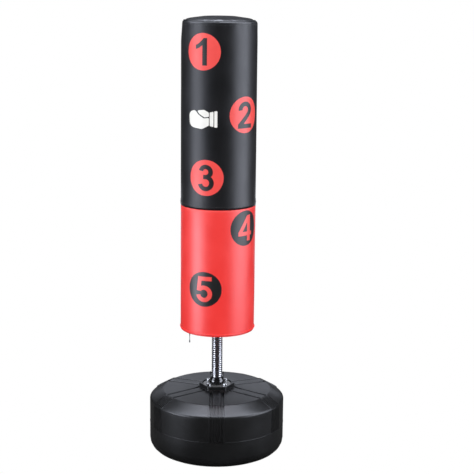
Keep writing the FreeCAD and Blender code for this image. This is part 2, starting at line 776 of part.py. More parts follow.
def zip_chains():
    zip_teeth("zip_teeth_outer", d.zip_radius + d.zip_gap / 2)
    zip_teeth("zip_teeth_inner", d.zip_radius - d.zip_gap / 2 - d.zip_tooth_width)
    width = d.zip_gap + d.zip_tooth_width * 2
    bottom = d.zip_tooth_bottom - 0.4
    stops = []
    for i, past in enumerate((-d.zip_end.value - 1.2, d.zip_run.value + d.zip_end.value + 1.2)):
        angle = bearing(SLIDER_BEARING) + past
        x, y = around(angle, d.zip_radius)
        turn = Rotation(Vector(0, 0, 1), angle)
        corner = turn.multVec(Vector(-number(width) / 2, -1.6, 0))
        stops.append(block(f"stop_{i}", width, 3.2, d.zip_tooth_height + 0.6,
                           x=x + corner.x, y=y + corner.y, z=bottom, turn=turn))
    node("zip_stops", group("stop_pair", stops))


def zip_slider():
    """Slider: two plates joined by a web between the rows of teeth, with a crown for the pull."""
    half = d.zip_gap / 2 + d.zip_tooth_width
    low_top = d.zip_tooth_bottom - d.slider_clear
    low = low_top - d.slider_plate
    high = d.zip_tooth_bottom + d.zip_tooth_height + d.slider_clear
    length = d.slider_length
    radius = d.zip_radius
    lower = block("slider_lower", half * 2 + 1, length, d.slider_plate, x=radius - half - 0.5, y=-length / 2, z=low)
    upper = block("slider_upper", half * 2, length - 4, d.slider_plate * 0.6,
                  x=radius - half, y=-(length - 4) / 2, z=high)
    web = block("slider_web", d.slider_web, length - 4, high - low_top,
                x=radius - d.slider_web / 2, y=-(length - 4) / 2, z=low_top)
    drop = low - d.pull_axis_drop
    bar = cylinder("crown_bar", d.crown_bar, 7, x=radius, y=3.5, z=drop, turn=Rotation(Vector(1, 0, 0), 90))
    cheeks = []
    for i, y in enumerate((-3.5, 1.9)):
        cheeks.append(block(f"crown_cheek_{i}", 2.6, 1.6, d.pull_axis_drop + 1.3, x=radius - 1.3, y=y, z=drop - 1.3))
    slider = fuse("slider", [lower, upper, web, bar] + cheeks)
    node("zip_slider", stand(slider, turn=zip_turn(0)))
    zip_pull(radius, drop)


def zip_pull(radius, height):
    """Hanging tab with an eye around the crown bar and a wider, holed end."""
    eye = cylinder("pull_eye", d.pull_eye, 3, x=radius, y=1.5, z=height, turn=Rotation(Vector(1, 0, 0), 90))
    stem = block("pull_stem", d.pull_thickness, 3, d.pull_length - 11,
                 x=radius - d.pull_thickness / 2, y=-1.5, z=height - d.pull_length + 11)
    tab = turned_tab(radius, height)
    bore = cylinder("pull_bore", d.pull_bore, 6, x=radius, y=3, z=height, turn=Rotation(Vector(1, 0, 0), 90))
    hole = cylinder("pull_hole", 1.2, 6, x=radius - 3, z=height - d.pull_length + 3.5,
                    turn=Rotation(Vector(0, 1, 0), 90))
    pull = cut("pull_bored", fuse("pull_blank", [eye, stem, tab]), fuse("pull_bores", [bore, hole]))
    node("zip_pull", stand(pull, turn=zip_turn(0)))


def turned_tab(radius, height):
    """The widening end of the pull, a flat outline extruded across the tab's thickness."""
    low = height - d.pull_length
    half = d.pull_width / 2
    body = padded("pull_tab", "YZ_Plane", [
        (-half, low, 2),
        (half, low, 2),
        (half, low + 7),
        (1.5, low + 12),
        (-1.5, low + 12),
        (-half, low + 7),
    ], d.pull_thickness, midplane=True)
    return stand(body, x=radius)


def build():
    base_tank()
    ballast_sand()
    filler_cap()
    anchor()
    split_clamp("lower_spring_clamp", d.lower_clamp_bottom)
    ball_cover()
    neck_spring()
    bag_foot()
    split_clamp("upper_spring_clamp", d.upper_clamp_bottom)
    core()
    soft_layers()
    covers()
    pipings()
    patches()
    zip_chains()
    zip_slider()


def check():
    """Stop before writing anything if an object failed or a sub-part is not sound."""
    broken = [o.Name for o in doc.Objects if {"Invalid", "Error"} & set(o.State)]
    if broken:
        raise RuntimeError(f"objects failed: {broken}")
    for item in nodes:
        if item.Shape.isNull() or not item.Shape.isValid() or not item.Shape.Solids:
            raise RuntimeError(f"{item.Label} is not a sound solid")


def export():
    os.makedirs("parts", exist_ok=True)
    for item in nodes:
        item.Shape.exportStep(f"parts/{item.Label}.step")
        box = item.Shape.optimalBoundingBox()
        print(f"{item.Label:22s} solids {len(item.Shape.Solids)}  volume {item.Shape.Volume / 1000:10.1f} cm3"
              f"  z {box.ZMin:8.2f} to {box.ZMax:8.2f}")


build()
doc.recompute()
check()
export()
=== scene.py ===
"""Looks of a free-standing boxing bag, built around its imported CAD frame.

The bag is a sewn cover over foam on a coil-spring neck above a ballast tank. Every length is in metres.
"""

import json
import logging
import math
from dataclasses import dataclass, field
from enum import Enum
from typing import Callable, Iterable, Sequence

import bmesh
import bpy
from bmesh.types import BMesh
from bpy.types import Material, Node, NodeTree, Object
from mathutils import Matrix, Vector, noise
from mathutils.bvhtree import BVHTree


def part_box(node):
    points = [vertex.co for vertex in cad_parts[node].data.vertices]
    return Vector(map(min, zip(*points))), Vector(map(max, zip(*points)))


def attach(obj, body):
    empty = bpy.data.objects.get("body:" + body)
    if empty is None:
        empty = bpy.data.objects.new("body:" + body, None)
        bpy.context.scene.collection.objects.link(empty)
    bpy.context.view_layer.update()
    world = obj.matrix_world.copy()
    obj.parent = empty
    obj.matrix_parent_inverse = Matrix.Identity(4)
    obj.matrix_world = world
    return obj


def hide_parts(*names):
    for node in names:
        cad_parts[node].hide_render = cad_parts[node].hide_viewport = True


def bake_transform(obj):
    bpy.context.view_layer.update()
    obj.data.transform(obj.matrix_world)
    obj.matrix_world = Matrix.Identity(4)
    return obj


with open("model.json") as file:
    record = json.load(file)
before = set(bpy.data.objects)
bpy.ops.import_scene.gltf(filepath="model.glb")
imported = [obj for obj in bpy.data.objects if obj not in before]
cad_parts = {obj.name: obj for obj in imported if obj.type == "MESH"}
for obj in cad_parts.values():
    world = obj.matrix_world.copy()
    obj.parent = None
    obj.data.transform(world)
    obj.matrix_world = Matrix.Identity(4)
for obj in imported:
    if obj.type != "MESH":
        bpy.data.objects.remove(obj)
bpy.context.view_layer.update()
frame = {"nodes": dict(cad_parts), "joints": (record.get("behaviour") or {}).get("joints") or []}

log = logging.getLogger("boxing_bag")

MM = 0.001
FRONT = -90.0  # bearing of the front, in degrees from +X
BAG_RADIUS = 150 * MM
Corner = tuple[float, ...]


# ---------------------------------------------------------------- places read from the frame
@dataclass(frozen=True)
class Span:
    """The box of a CAD node, read as a turned piece about the bag's axis."""

    low: Vector
    high: Vector

    @classmethod
    def of(cls, node: str) -> "Span":
        """Return the span of a CAD node."""
        return cls(*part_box(node))

    @property
    def radius(self) -> float:
        """Return the outer radius."""
        return (self.high.x - self.low.x) / 2

    @property
    def bottom(self) -> float:
        """Return the lowest height."""
        return self.low.z

    @property
    def top(self) -> float:
        """Return the highest height."""
        return self.high.z

    @property
    def centre(self) -> Vector:
        """Return the middle of the box."""
        return (self.low + self.high) / 2


def bearing_of(point: Vector) -> float:
    """Return the bearing of a point about the axis, in degrees from +X."""
    return math.degrees(math.atan2(point.y, point.x))


def direction(bearing: float) -> Vector:
    """Return the level unit vector that points along a bearing.

    Args:
        bearing: degrees from +X.

    Returns:
        A unit vector in the XY plane.
    """
    angle = math.radians(bearing)
    return Vector((math.cos(angle), math.sin(angle), 0))


def smooth_step(value: float, start: float, end: float) -> float:
    """Return 0 before start, 1 after end and a smooth rise between them."""
    share = max(0.0, min(1.0, (value - start) / (end - start)))
    return share * share * (3 - 2 * share)


# ---------------------------------------------------------------- mesh helpers
def rounded_outline(corners: Sequence[Corner], closed: bool = True, steps: int = 8) -> list[Vector]:
    """Return the points of an outline, with an arc at each corner that has a radius.

    Args:
        corners: (x, y) or (x, y, radius) for each corner.
        closed: whether the last corner joins the first.
        steps: segments of each arc.

    Returns:
        The outline's points in the XY plane.
    """
    places = [Vector((c[0], c[1], 0)) for c in corners]
    points: list[Vector] = []
    for i, corner in enumerate(corners):
        inner = closed or 0 < i < len(corners) - 1
        if len(corner) < 3 or not inner:
            points.append(places[i])
            continue
        here, back = places[i], places[i - 1] - places[i]
        ahead = places[(i + 1) % len(places)] - here
        half = back.angle(ahead) / 2
        reach = min(corner[2] / math.tan(half), 0.49 * back.length, 0.49 * ahead.length)
        radius = reach * math.tan(half)
        centre = here + (back.normalized() + ahead.normalized()).normalized() * (radius / math.sin(half))
        first, last = here + back.normalized() * reach - centre, here + ahead.normalized() * reach - centre
        points += [centre + first.slerp(last, k / steps) * radius for k in range(steps + 1)]
    return points


def full_turn(mesh: BMesh, steps: int) -> None:
    """Spin all that a mesh holds once round the vertical axis.

    Args:
        mesh: points and edges of a section, changed into a turned skin with its faces outwards.
        steps: divisions of the turn.
    """
    bmesh.ops.spin(mesh, geom=[*mesh.verts, *mesh.edges], cent=(0, 0, 0), axis=(0, 0, 1), dvec=(0, 0, 0),
                   angle=math.tau, steps=steps, use_merge=True)
    bmesh.ops.remove_doubles(mesh, verts=mesh.verts, dist=1e-6)
    bmesh.ops.recalc_face_normals(mesh, faces=mesh.faces)


def spin_outline(corners: Sequence[Corner], steps: int = 96, closed: bool = True, arc: int = 6) -> BMesh:
    """Turn an outline of radius and height about the vertical axis.

    Args:
        corners: (radius, height) or (radius, height, rounding) for each corner.
        steps: divisions of the full turn.
        closed: whether the outline is a loop; False for one that starts and ends on the axis.
        arc: segments of each rounding.

    Returns:
        A closed mesh with its faces outwards.
    """
    mesh = bmesh.new()
    verts = [mesh.verts.new((p.x, 0, p.y)) for p in rounded_outline(corners, closed, arc)]
    for pair in zip(verts, verts[1:] + verts[:1] if closed else verts[1:]):
        mesh.edges.new(pair)
    full_turn(mesh, steps)
    return mesh


def bevel_edges(mesh: BMesh, width: float, angle: float = 30.0, segments: int = 2) -> None:
    """Round the edges of a mesh that turn by more than an angle.

    Args:
        mesh: the mesh to change.
        width: width of the rounding.
        angle: smallest turn, in degrees, that is rounded.
        segments: segments of the rounding.
    """
    limit = math.radians(angle)
    sharp = [e for e in mesh.edges if len(e.link_faces) == 2 and e.calc_face_angle() > limit]
    bmesh.ops.bevel(mesh, geom=sharp, offset=width, offset_type="OFFSET", segments=segments,
                    profile=0.5, affect="EDGES", clamp_overlap=True, material=-1)


def add_block(mesh: BMesh, size: Corner, place: Matrix) -> None:
    """Add a rectangular block of a given size at a place."""
    bmesh.ops.create_cube(mesh, size=1.0, matrix=place @ Matrix.Diagonal((*size, 1.0)))


def add_rod(mesh: BMesh, radius: float, length: float, place: Matrix, sides: int = 24) -> None:
    """Add a round rod whose axis is the place's own Z axis."""
    bmesh.ops.create_cone(mesh, cap_ends=True, cap_tris=False, segments=sides, radius1=radius,
                          radius2=radius, depth=length, matrix=place)


def fill_outlines(outlines: Iterable[Sequence[Vector]]) -> BMesh:
    """Fill flat outlines, with inner ones as holes.

    Args:
        outlines: loops of points in the XY plane.

    Returns:
        A flat mesh that faces +Z.
    """
    mesh = bmesh.new()
    for points in outlines:
        verts = [mesh.verts.new(p) for p in points]
        for pair in zip(verts, verts[1:] + verts[:1]):
            mesh.edges.new(pair)
    bmesh.ops.triangle_fill(mesh, use_beauty=True, use_dissolve=False, edges=mesh.edges, normal=(0, 0, 1))
    return mesh


def dice(mesh: BMesh, pitch: float) -> None:
    """Cut a flat mesh by an even grid of lines so that it can bend.

    Args:
        mesh: a mesh in the XY plane.
        pitch: distance between the lines.
    """
    for axis in (0, 1):
        places = [v.co[axis] for v in mesh.verts]
        normal = Vector((axis == 0, axis == 1, 0))
        count = int((max(places) - min(places)) / pitch)
        for k in range(1, count + 1):
            geometry = [*mesh.verts, *mesh.edges, *mesh.faces]
            bmesh.ops.bisect_plane(mesh, geom=geometry, dist=1e-7, plane_no=normal,
                                   plane_co=normal * (min(places) + k * pitch))


def copy_of(source: Object) -> BMesh:
    """Return a piece's mesh as a new bmesh, with its modifiers applied."""
    graph = bpy.context.evaluated_depsgraph_get()
    mesh = bmesh.new()
    mesh.from_object(source, graph)
    return mesh


@dataclass(frozen=True)
class Part:
    """Where a new piece belongs in the product."""

    name: str
    body: str
    slot: str | None
    stands_for: tuple[str, ...] = ()

    def make(self, mesh: BMesh, material: Material, smooth: float = 35.0) -> Object:
        """Turn a bmesh into a finished object that rides on its body.

        Args:
            mesh: the geometry, which is freed.
            material: the finish of the whole piece.
            smooth: edges that turn by more than this many degrees stay sharp.

        Returns:
            The new object.
        """
        piece = self.loose(mesh, material, smooth)
        return self.fasten(piece)

    def loose(self, mesh: BMesh, material: Material, smooth: float = 35.0) -> Object:
        """Make the object without fastening it to its body yet."""
        data = bpy.data.meshes.new(self.name)
        mesh.to_mesh(data)
        mesh.free()
        data.materials.append(material)
        data.shade_smooth()
        data.set_sharp_from_angle(angle=math.radians(smooth))
        piece = bpy.data.objects.new(self.name, data)
        bpy.context.scene.collection.objects.link(piece)
        return piece

    def fasten(self, piece: Object) -> Object:
        """Fasten a finished object to its body and hide the nodes it stands for."""
        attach(piece, self.body)
        return self.label(piece)

    def label(self, piece: Object) -> Object:
        """Hide the nodes that the piece stands for, if it has any, and log its face count."""
        if self.stands_for:
            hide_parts(*self.stands_for)
        log.info("%s: %d faces", piece.name, len(piece.data.polygons))
        return piece


# ---------------------------------------------------------------- shared shader effects
class Grain(Enum):
    """The kinds of fine relief that the finishes use."""

    PEBBLE = "pebbled_leather"
    SATIN = "moulded_satin"
    BRUSHED = "drawn_metal"
    CELLS = "foam_cells"
    PLIES = "wood_plies"
    GRIT = "loose_grit"


NOISE, VORONOI = "ShaderNodeTexNoise", "ShaderNodeTexVoronoi"
NOISE_GRAINS: dict[Grain, tuple[Corner, float]] = {
    Grain.SATIN: ((1, 1, 1), 2.5), Grain.GRIT: ((1, 1, 1), 6.0),
    Grain.BRUSHED: ((1.0, 1.0, 0.06), 3.0), Grain.PLIES: ((0.12, 1.0, 6.0), 6.0),
}


def link(tree: NodeTree, source: Node, output: str, target: Node, socket: str) -> None:
    """Join an output of one node to an input of another."""
    tree.links.new(source.outputs[output], target.inputs[socket])


def set_inputs(node: Node, values: dict[str, object]) -> None:
    """Set the values of a node's unlinked inputs, by their names."""
    for name, value in values.items():
        node.inputs[name].default_value = value


def group_of(name: str, inputs: dict[str, float], outputs: Sequence[str]) -> tuple[NodeTree, Node, Node]:
    """Start a shader node group.

    Args:
        name: the group's name.
        inputs: name and default of each number that goes in.
        outputs: names of the values that come out.

    Returns:
        The group's tree, its input node and its output node.
    """
    tree = bpy.data.node_groups.new(name, "ShaderNodeTree")
    for label, value in inputs.items():
        made = tree.interface.new_socket(name=label, in_out="INPUT", socket_type="NodeSocketFloat")
        made.default_value = value
    for label in outputs:
        tree.interface.new_socket(name=label, in_out="OUTPUT", socket_type="NodeSocketFloat")
    return tree, tree.nodes.new("NodeGroupInput"), tree.nodes.new("NodeGroupOutput")


def scaled_texture(tree: NodeTree, kind: str, entry: Node, stretch: Corner = (1, 1, 1),
                   values: dict[str, object] | None = None) -> Node:
    """Add a texture inside a group, with its scale from the group's Scale input.

    Args:
        tree: the group's tree.
        kind: the texture node's type name.
        entry: the group's input node.
        stretch: how much the pattern is squeezed along each axis.
        values: values of the texture's other inputs.

    Returns:
        The texture node.
    """
    where = tree.nodes.new("ShaderNodeTexCoord")
    mapping = tree.nodes.new("ShaderNodeMapping")
    set_inputs(mapping, {"Scale": stretch})
    made = tree.nodes.new(kind)
    set_inputs(made, values or {})
    link(tree, where, "Object", mapping, "Vector")
    link(tree, mapping, "Vector", made, "Vector")
    link(tree, entry, "Scale", made, "Scale")
    return made


def mix_values(tree: NodeTree, operation: str, first: tuple[Node, str],
               second: tuple[Node, str] | float) -> Node:
    """Add a Math node that joins two values."""
    made = tree.nodes.new("ShaderNodeMath")
    made.operation = operation
    tree.links.new(first[0].outputs[first[1]], made.inputs[0])
    if isinstance(second, float):
        made.inputs[1].default_value = second
    else:
        tree.links.new(second[0].outputs[second[1]], made.inputs[1])
    return made


def grain_group(kind: Grain) -> NodeTree:
    """Return the group that makes one kind of relief, built on first use.

    Args:
        kind: which relief.

    Returns:
        A group with a Scale input and a Height output.
    """
    if kind.value in bpy.data.node_groups:
        return bpy.data.node_groups[kind.value]
    tree, entry, leave = group_of(kind.value, {"Scale": 800.0}, ["Height"])
    if kind is Grain.PEBBLE:
        cells = scaled_texture(tree, VORONOI, entry)
        cells.feature = "SMOOTH_F1"
        set_inputs(cells, {"Smoothness": 0.6})
        crease = scaled_texture(tree, NOISE, entry, (0.35, 0.35, 0.35), {"Detail": 4.0})
        height = mix_values(tree, "MULTIPLY_ADD", (crease, "Fac"), 0.8)
        tree.links.new(cells.outputs["Distance"], height.inputs[2])
        link(tree, height, "Value", leave, "Height")
    elif kind is Grain.CELLS:
        link(tree, scaled_texture(tree, VORONOI, entry), "Distance", leave, "Height")
    else:
        stretch, detail = NOISE_GRAINS[kind]
        link(tree, scaled_texture(tree, NOISE, entry, stretch, {"Detail": detail}), "Fac", leave, "Height")
    return tree


def mottle_group() -> NodeTree:
    """Return the group that spreads a soft, uneven mask over a surface, built on first use."""
    name = "mottle"
    if name in bpy.data.node_groups:
        return bpy.data.node_groups[name]
    tree, entry, leave = group_of(name, {"Scale": 12.0, "Low": 0.35, "High": 0.65}, ["Mask"])
    cloud = scaled_texture(tree, NOISE, entry, values={"Detail": 5.0})
    spread = tree.nodes.new("ShaderNodeMapRange")
    link(tree, cloud, "Fac", spread, "Value")
    link(tree, entry, "Low", spread, "From Min")
    link(tree, entry, "High", spread, "From Max")
    link(tree, spread, "Result", leave, "Mask")
    return tree


def scuff_group() -> NodeTree:
    """Return the group that marks thin scratches, thickest near the floor, built on first use."""
    name = "floor_scuffs"
    if name in bpy.data.node_groups:
        return bpy.data.node_groups[name]
    tree, entry, leave = group_of(name, {"Scale": 60.0, "Reach": 0.12}, ["Mask"])
    streaks = scaled_texture(tree, NOISE, entry, (0.25, 0.25, 5.0), {"Detail": 8.0, "Roughness": 0.7})
    thin = tree.nodes.new("ShaderNodeMapRange")
    set_inputs(thin, {"From Min": 0.6, "From Max": 0.72})
    link(tree, streaks, "Fac", thin, "Value")
    where = tree.nodes.new("ShaderNodeTexCoord")
    parts = tree.nodes.new("ShaderNodeSeparateXYZ")
    link(tree, where, "Object", parts, "Vector")
    low = tree.nodes.new("ShaderNodeMapRange")
    set_inputs(low, {"From Min": 0.0, "To Min": 1.0, "To Max": 0.12})
    link(tree, parts, "Z", low, "Value")
    link(tree, entry, "Reach", low, "From Max")
    mask = mix_values(tree, "MULTIPLY", (thin, "Result"), (low, "Result"))
    link(tree, mask, "Value", leave, "Mask")
    return tree


# ---------------------------------------------------------------- finishes
@dataclass(frozen=True)
class Finish:
    """A surface finish: two close colours, a gloss range, and a fine relief."""

    name: str
    colour: Corner
    second: Corner
    roughness: tuple[float, float]
    grain: Grain = Grain.SATIN
    grain_scale: float = 900.0
    grain_depth: float = 0.05 * MM
    mottle_scale: float = 14.0
    metallic: float = 0.0
    specular: float = 0.5
    coat: float = 0.0
    coat_roughness: float = 0.05
    sheen: float = 0.0
    scuffed: bool = False

    def material(self) -> Material:
        """Return this finish as a node material, built on first use."""
        label = f"{self.name}_finish"
        if label in bpy.data.materials:
            return bpy.data.materials[label]
        made = bpy.data.materials.new(label)
        made.use_nodes = True
        tree = made.node_tree
        shader = tree.nodes["Principled BSDF"]
        set_inputs(shader, {"Metallic": self.metallic, "Specular IOR Level": self.specular,
                            "Coat Weight": self.coat, "Coat Roughness": self.coat_roughness,
                            "Sheen Weight": self.sheen})
        mask = self.uneven(tree)
        self.paint(tree, shader, mask)
        self.gloss(tree, shader, mask)
        self.relief(tree, shader)
        return made

    def uneven(self, tree: NodeTree) -> Node:
        """Add the soft mask that colour and gloss follow."""
        mask = tree.nodes.new("ShaderNodeGroup")
        mask.node_tree = mottle_group()
        set_inputs(mask, {"Scale": self.mottle_scale})
        return mask

    def paint(self, tree: NodeTree, shader: Node, mask: Node) -> None:
        """Mix the two colours over the surface, and scuffs where the finish has them."""
        blend = tree.nodes.new("ShaderNodeMix")
        blend.data_type = "RGBA"
        blend.inputs[6].default_value = (*self.colour, 1.0)
        blend.inputs[7].default_value = (*self.second, 1.0)
        tree.links.new(mask.outputs["Mask"], blend.inputs[0])
        result = blend.outputs[2]
        if self.scuffed:
            marks = tree.nodes.new("ShaderNodeGroup")
            marks.node_tree = scuff_group()
            worn = tree.nodes.new("ShaderNodeMix")
            worn.data_type = "RGBA"
            worn.inputs[7].default_value = tuple(min(1.0, c * 2.2 + 0.02) for c in self.colour) + (1.0,)
            tree.links.new(marks.outputs["Mask"], worn.inputs[0])
            tree.links.new(result, worn.inputs[6])
            result = worn.outputs[2]
        tree.links.new(result, shader.inputs["Base Color"])

    def gloss(self, tree: NodeTree, shader: Node, mask: Node) -> None:
        """Let the roughness wander between its two limits."""
        spread = tree.nodes.new("ShaderNodeMapRange")
        set_inputs(spread, {"To Min": self.roughness[0], "To Max": self.roughness[1]})
        tree.links.new(mask.outputs["Mask"], spread.inputs["Value"])
        tree.links.new(spread.outputs["Result"], shader.inputs["Roughness"])

    def relief(self, tree: NodeTree, shader: Node) -> None:
        """Feed the fine relief to the shader as a bump."""
        pattern = tree.nodes.new("ShaderNodeGroup")
        pattern.node_tree = grain_group(self.grain)
        set_inputs(pattern, {"Scale": self.grain_scale})
        bump = tree.nodes.new("ShaderNodeBump")
        set_inputs(bump, {"Strength": 1.0, "Distance": self.grain_depth})
        link(tree, pattern, "Height", bump, "Height")
        link(tree, bump, "Normal", shader, "Normal")


BLACK_COVER = Finish("black_leatherette", (0.0022, 0.0024, 0.0048), (0.0034, 0.0036, 0.0066), (0.38, 0.44),
                     Grain.PEBBLE, 620.0, 0.035 * MM, 9.0, specular=0.6)
RED_COVER = Finish("red_leatherette", (0.82, 0.013, 0.009), (0.88, 0.018, 0.013), (0.38, 0.44),
                   Grain.PEBBLE, 620.0, 0.035 * MM, 9.0, specular=0.8)
RED_PRINT = Finish("red_print", (0.86, 0.05, 0.04), (0.82, 0.04, 0.032), (0.36, 0.42),
                   Grain.PEBBLE, 620.0, 0.03 * MM, 20.0, specular=0.75)
BLACK_PRINT = Finish("black_print", (0.006, 0.0065, 0.007), (0.009, 0.0095, 0.01), (0.36, 0.42),
                     Grain.PEBBLE, 620.0, 0.03 * MM, 20.0, specular=0.6)
WHITE_PRINT = Finish("white_print", (0.82, 0.82, 0.8), (0.76, 0.76, 0.75), (0.34, 0.42),
                     Grain.PEBBLE, 620.0, 0.03 * MM, 20.0)
BLACK_THREAD = Finish("black_thread", (0.012, 0.012, 0.014), (0.03, 0.03, 0.034), (0.6, 0.75),
                      Grain.BRUSHED, 2600.0, 0.08 * MM, 90.0, sheen=0.3)
RED_THREAD = Finish("red_thread", (0.5, 0.012, 0.01), (0.68, 0.02, 0.016), (0.6, 0.75),
                    Grain.BRUSHED, 2600.0, 0.08 * MM, 90.0, sheen=0.3)
TANK = Finish("tank_polyethylene", (0.0035, 0.0037, 0.0043), (0.006, 0.0063, 0.007), (0.3, 0.38),
              Grain.SATIN, 1500.0, 0.05 * MM, 7.0, specular=0.5, scuffed=True)
CAP = Finish("cap_plastic", (0.012, 0.012, 0.013), (0.018, 0.018, 0.019), (0.42, 0.52),
             Grain.SATIN, 2200.0, 0.05 * MM, 40.0)
BALL = Finish("gloss_ball", (0.003, 0.003, 0.004), (0.005, 0.005, 0.006), (0.06, 0.1),
              Grain.SATIN, 300.0, 0.004 * MM, 30.0, coat=1.0, coat_roughness=0.03)
CHROME = Finish("spring_chrome", (0.62, 0.62, 0.64), (0.5, 0.5, 0.52), (0.16, 0.24),
                Grain.BRUSHED, 900.0, 0.01 * MM, 60.0, metallic=1.0)
ZINC = Finish("zinc_steel", (0.72, 0.73, 0.76), (0.6, 0.6, 0.58), (0.18, 0.3),
              Grain.SATIN, 900.0, 0.02 * MM, 120.0, metallic=1.0)
NICKEL = Finish("zip_nickel", (0.42, 0.42, 0.43), (0.3, 0.3, 0.3), (0.22, 0.34),
                Grain.SATIN, 1400.0, 0.02 * MM, 200.0, metallic=1.0)
PLATE_PAINT = Finish("plate_paint", (0.075, 0.078, 0.082), (0.1, 0.103, 0.108), (0.28, 0.4),
                     Grain.SATIN, 1800.0, 0.04 * MM, 40.0, specular=0.6)
POWDER_COAT = Finish("powder_coat", (0.012, 0.012, 0.012), (0.018, 0.018, 0.018), (0.4, 0.5),
                     Grain.GRIT, 900.0, 0.06 * MM, 60.0)
BRASS = Finish("brass_insert", (0.72, 0.5, 0.2), (0.62, 0.42, 0.18), (0.25, 0.4),
               Grain.BRUSHED, 1500.0, 0.02 * MM, 150.0, metallic=1.0)
PLYWOOD = Finish("plywood", (0.5, 0.31, 0.15), (0.36, 0.2, 0.09), (0.5, 0.65),
                 Grain.PLIES, 180.0, 0.15 * MM, 40.0)
CORE = Finish("core_plastic", (0.05, 0.05, 0.055), (0.065, 0.065, 0.07), (0.4, 0.5),
              Grain.SATIN, 1200.0, 0.05 * MM, 15.0)
FOAM = Finish("foam", (0.62, 0.6, 0.52), (0.52, 0.5, 0.43), (0.85, 0.95),
              Grain.CELLS, 900.0, 0.4 * MM, 30.0)
SAND = Finish("sand", (0.5, 0.38, 0.24), (0.35, 0.26, 0.16), (0.85, 0.95),
              Grain.GRIT, 1500.0, 0.5 * MM, 200.0)
RUBBER = Finish("black_rubber", (0.008, 0.008, 0.008), (0.014, 0.014, 0.014), (0.55, 0.7),
                Grain.SATIN, 2500.0, 0.03 * MM, 100.0)
ZIP_TEETH = Finish("zip_teeth", (0.3, 0.01, 0.008), (0.38, 0.014, 0.01), (0.3, 0.4),
                   Grain.SATIN, 1500.0, 0.01 * MM, 100.0)

NODE_FINISHES: dict[str, Finish] = {
    "ballast_sand": SAND, "cap_gasket": RUBBER, "fill_cap": CAP, "anchor_plate": PLATE_PAINT,
    "tank_inserts": BRASS, "lower_spigot": POWDER_COAT, "upper_spigot": POWDER_COAT,
    "bag_socket": POWDER_COAT, "lower_spring_clamp": ZINC, "upper_spring_clamp": ZINC,
    "bottom_board": PLYWOOD, "socket_bolts": ZINC, "socket_nuts": ZINC, "core_screws": ZINC,
    "core_tube": CORE, "core_cap": CORE, "zip_stops": NICKEL,
}


def dress_frame() -> None:
    """Give every CAD node that stays in view a finish of its own."""
    for name, finish in NODE_FINISHES.items():
        piece = frame["nodes"][name]
        piece.data.materials.clear()
        piece.data.materials.append(finish.material())
        log.info("%s keeps its frame shape, in %s", name, finish.name)


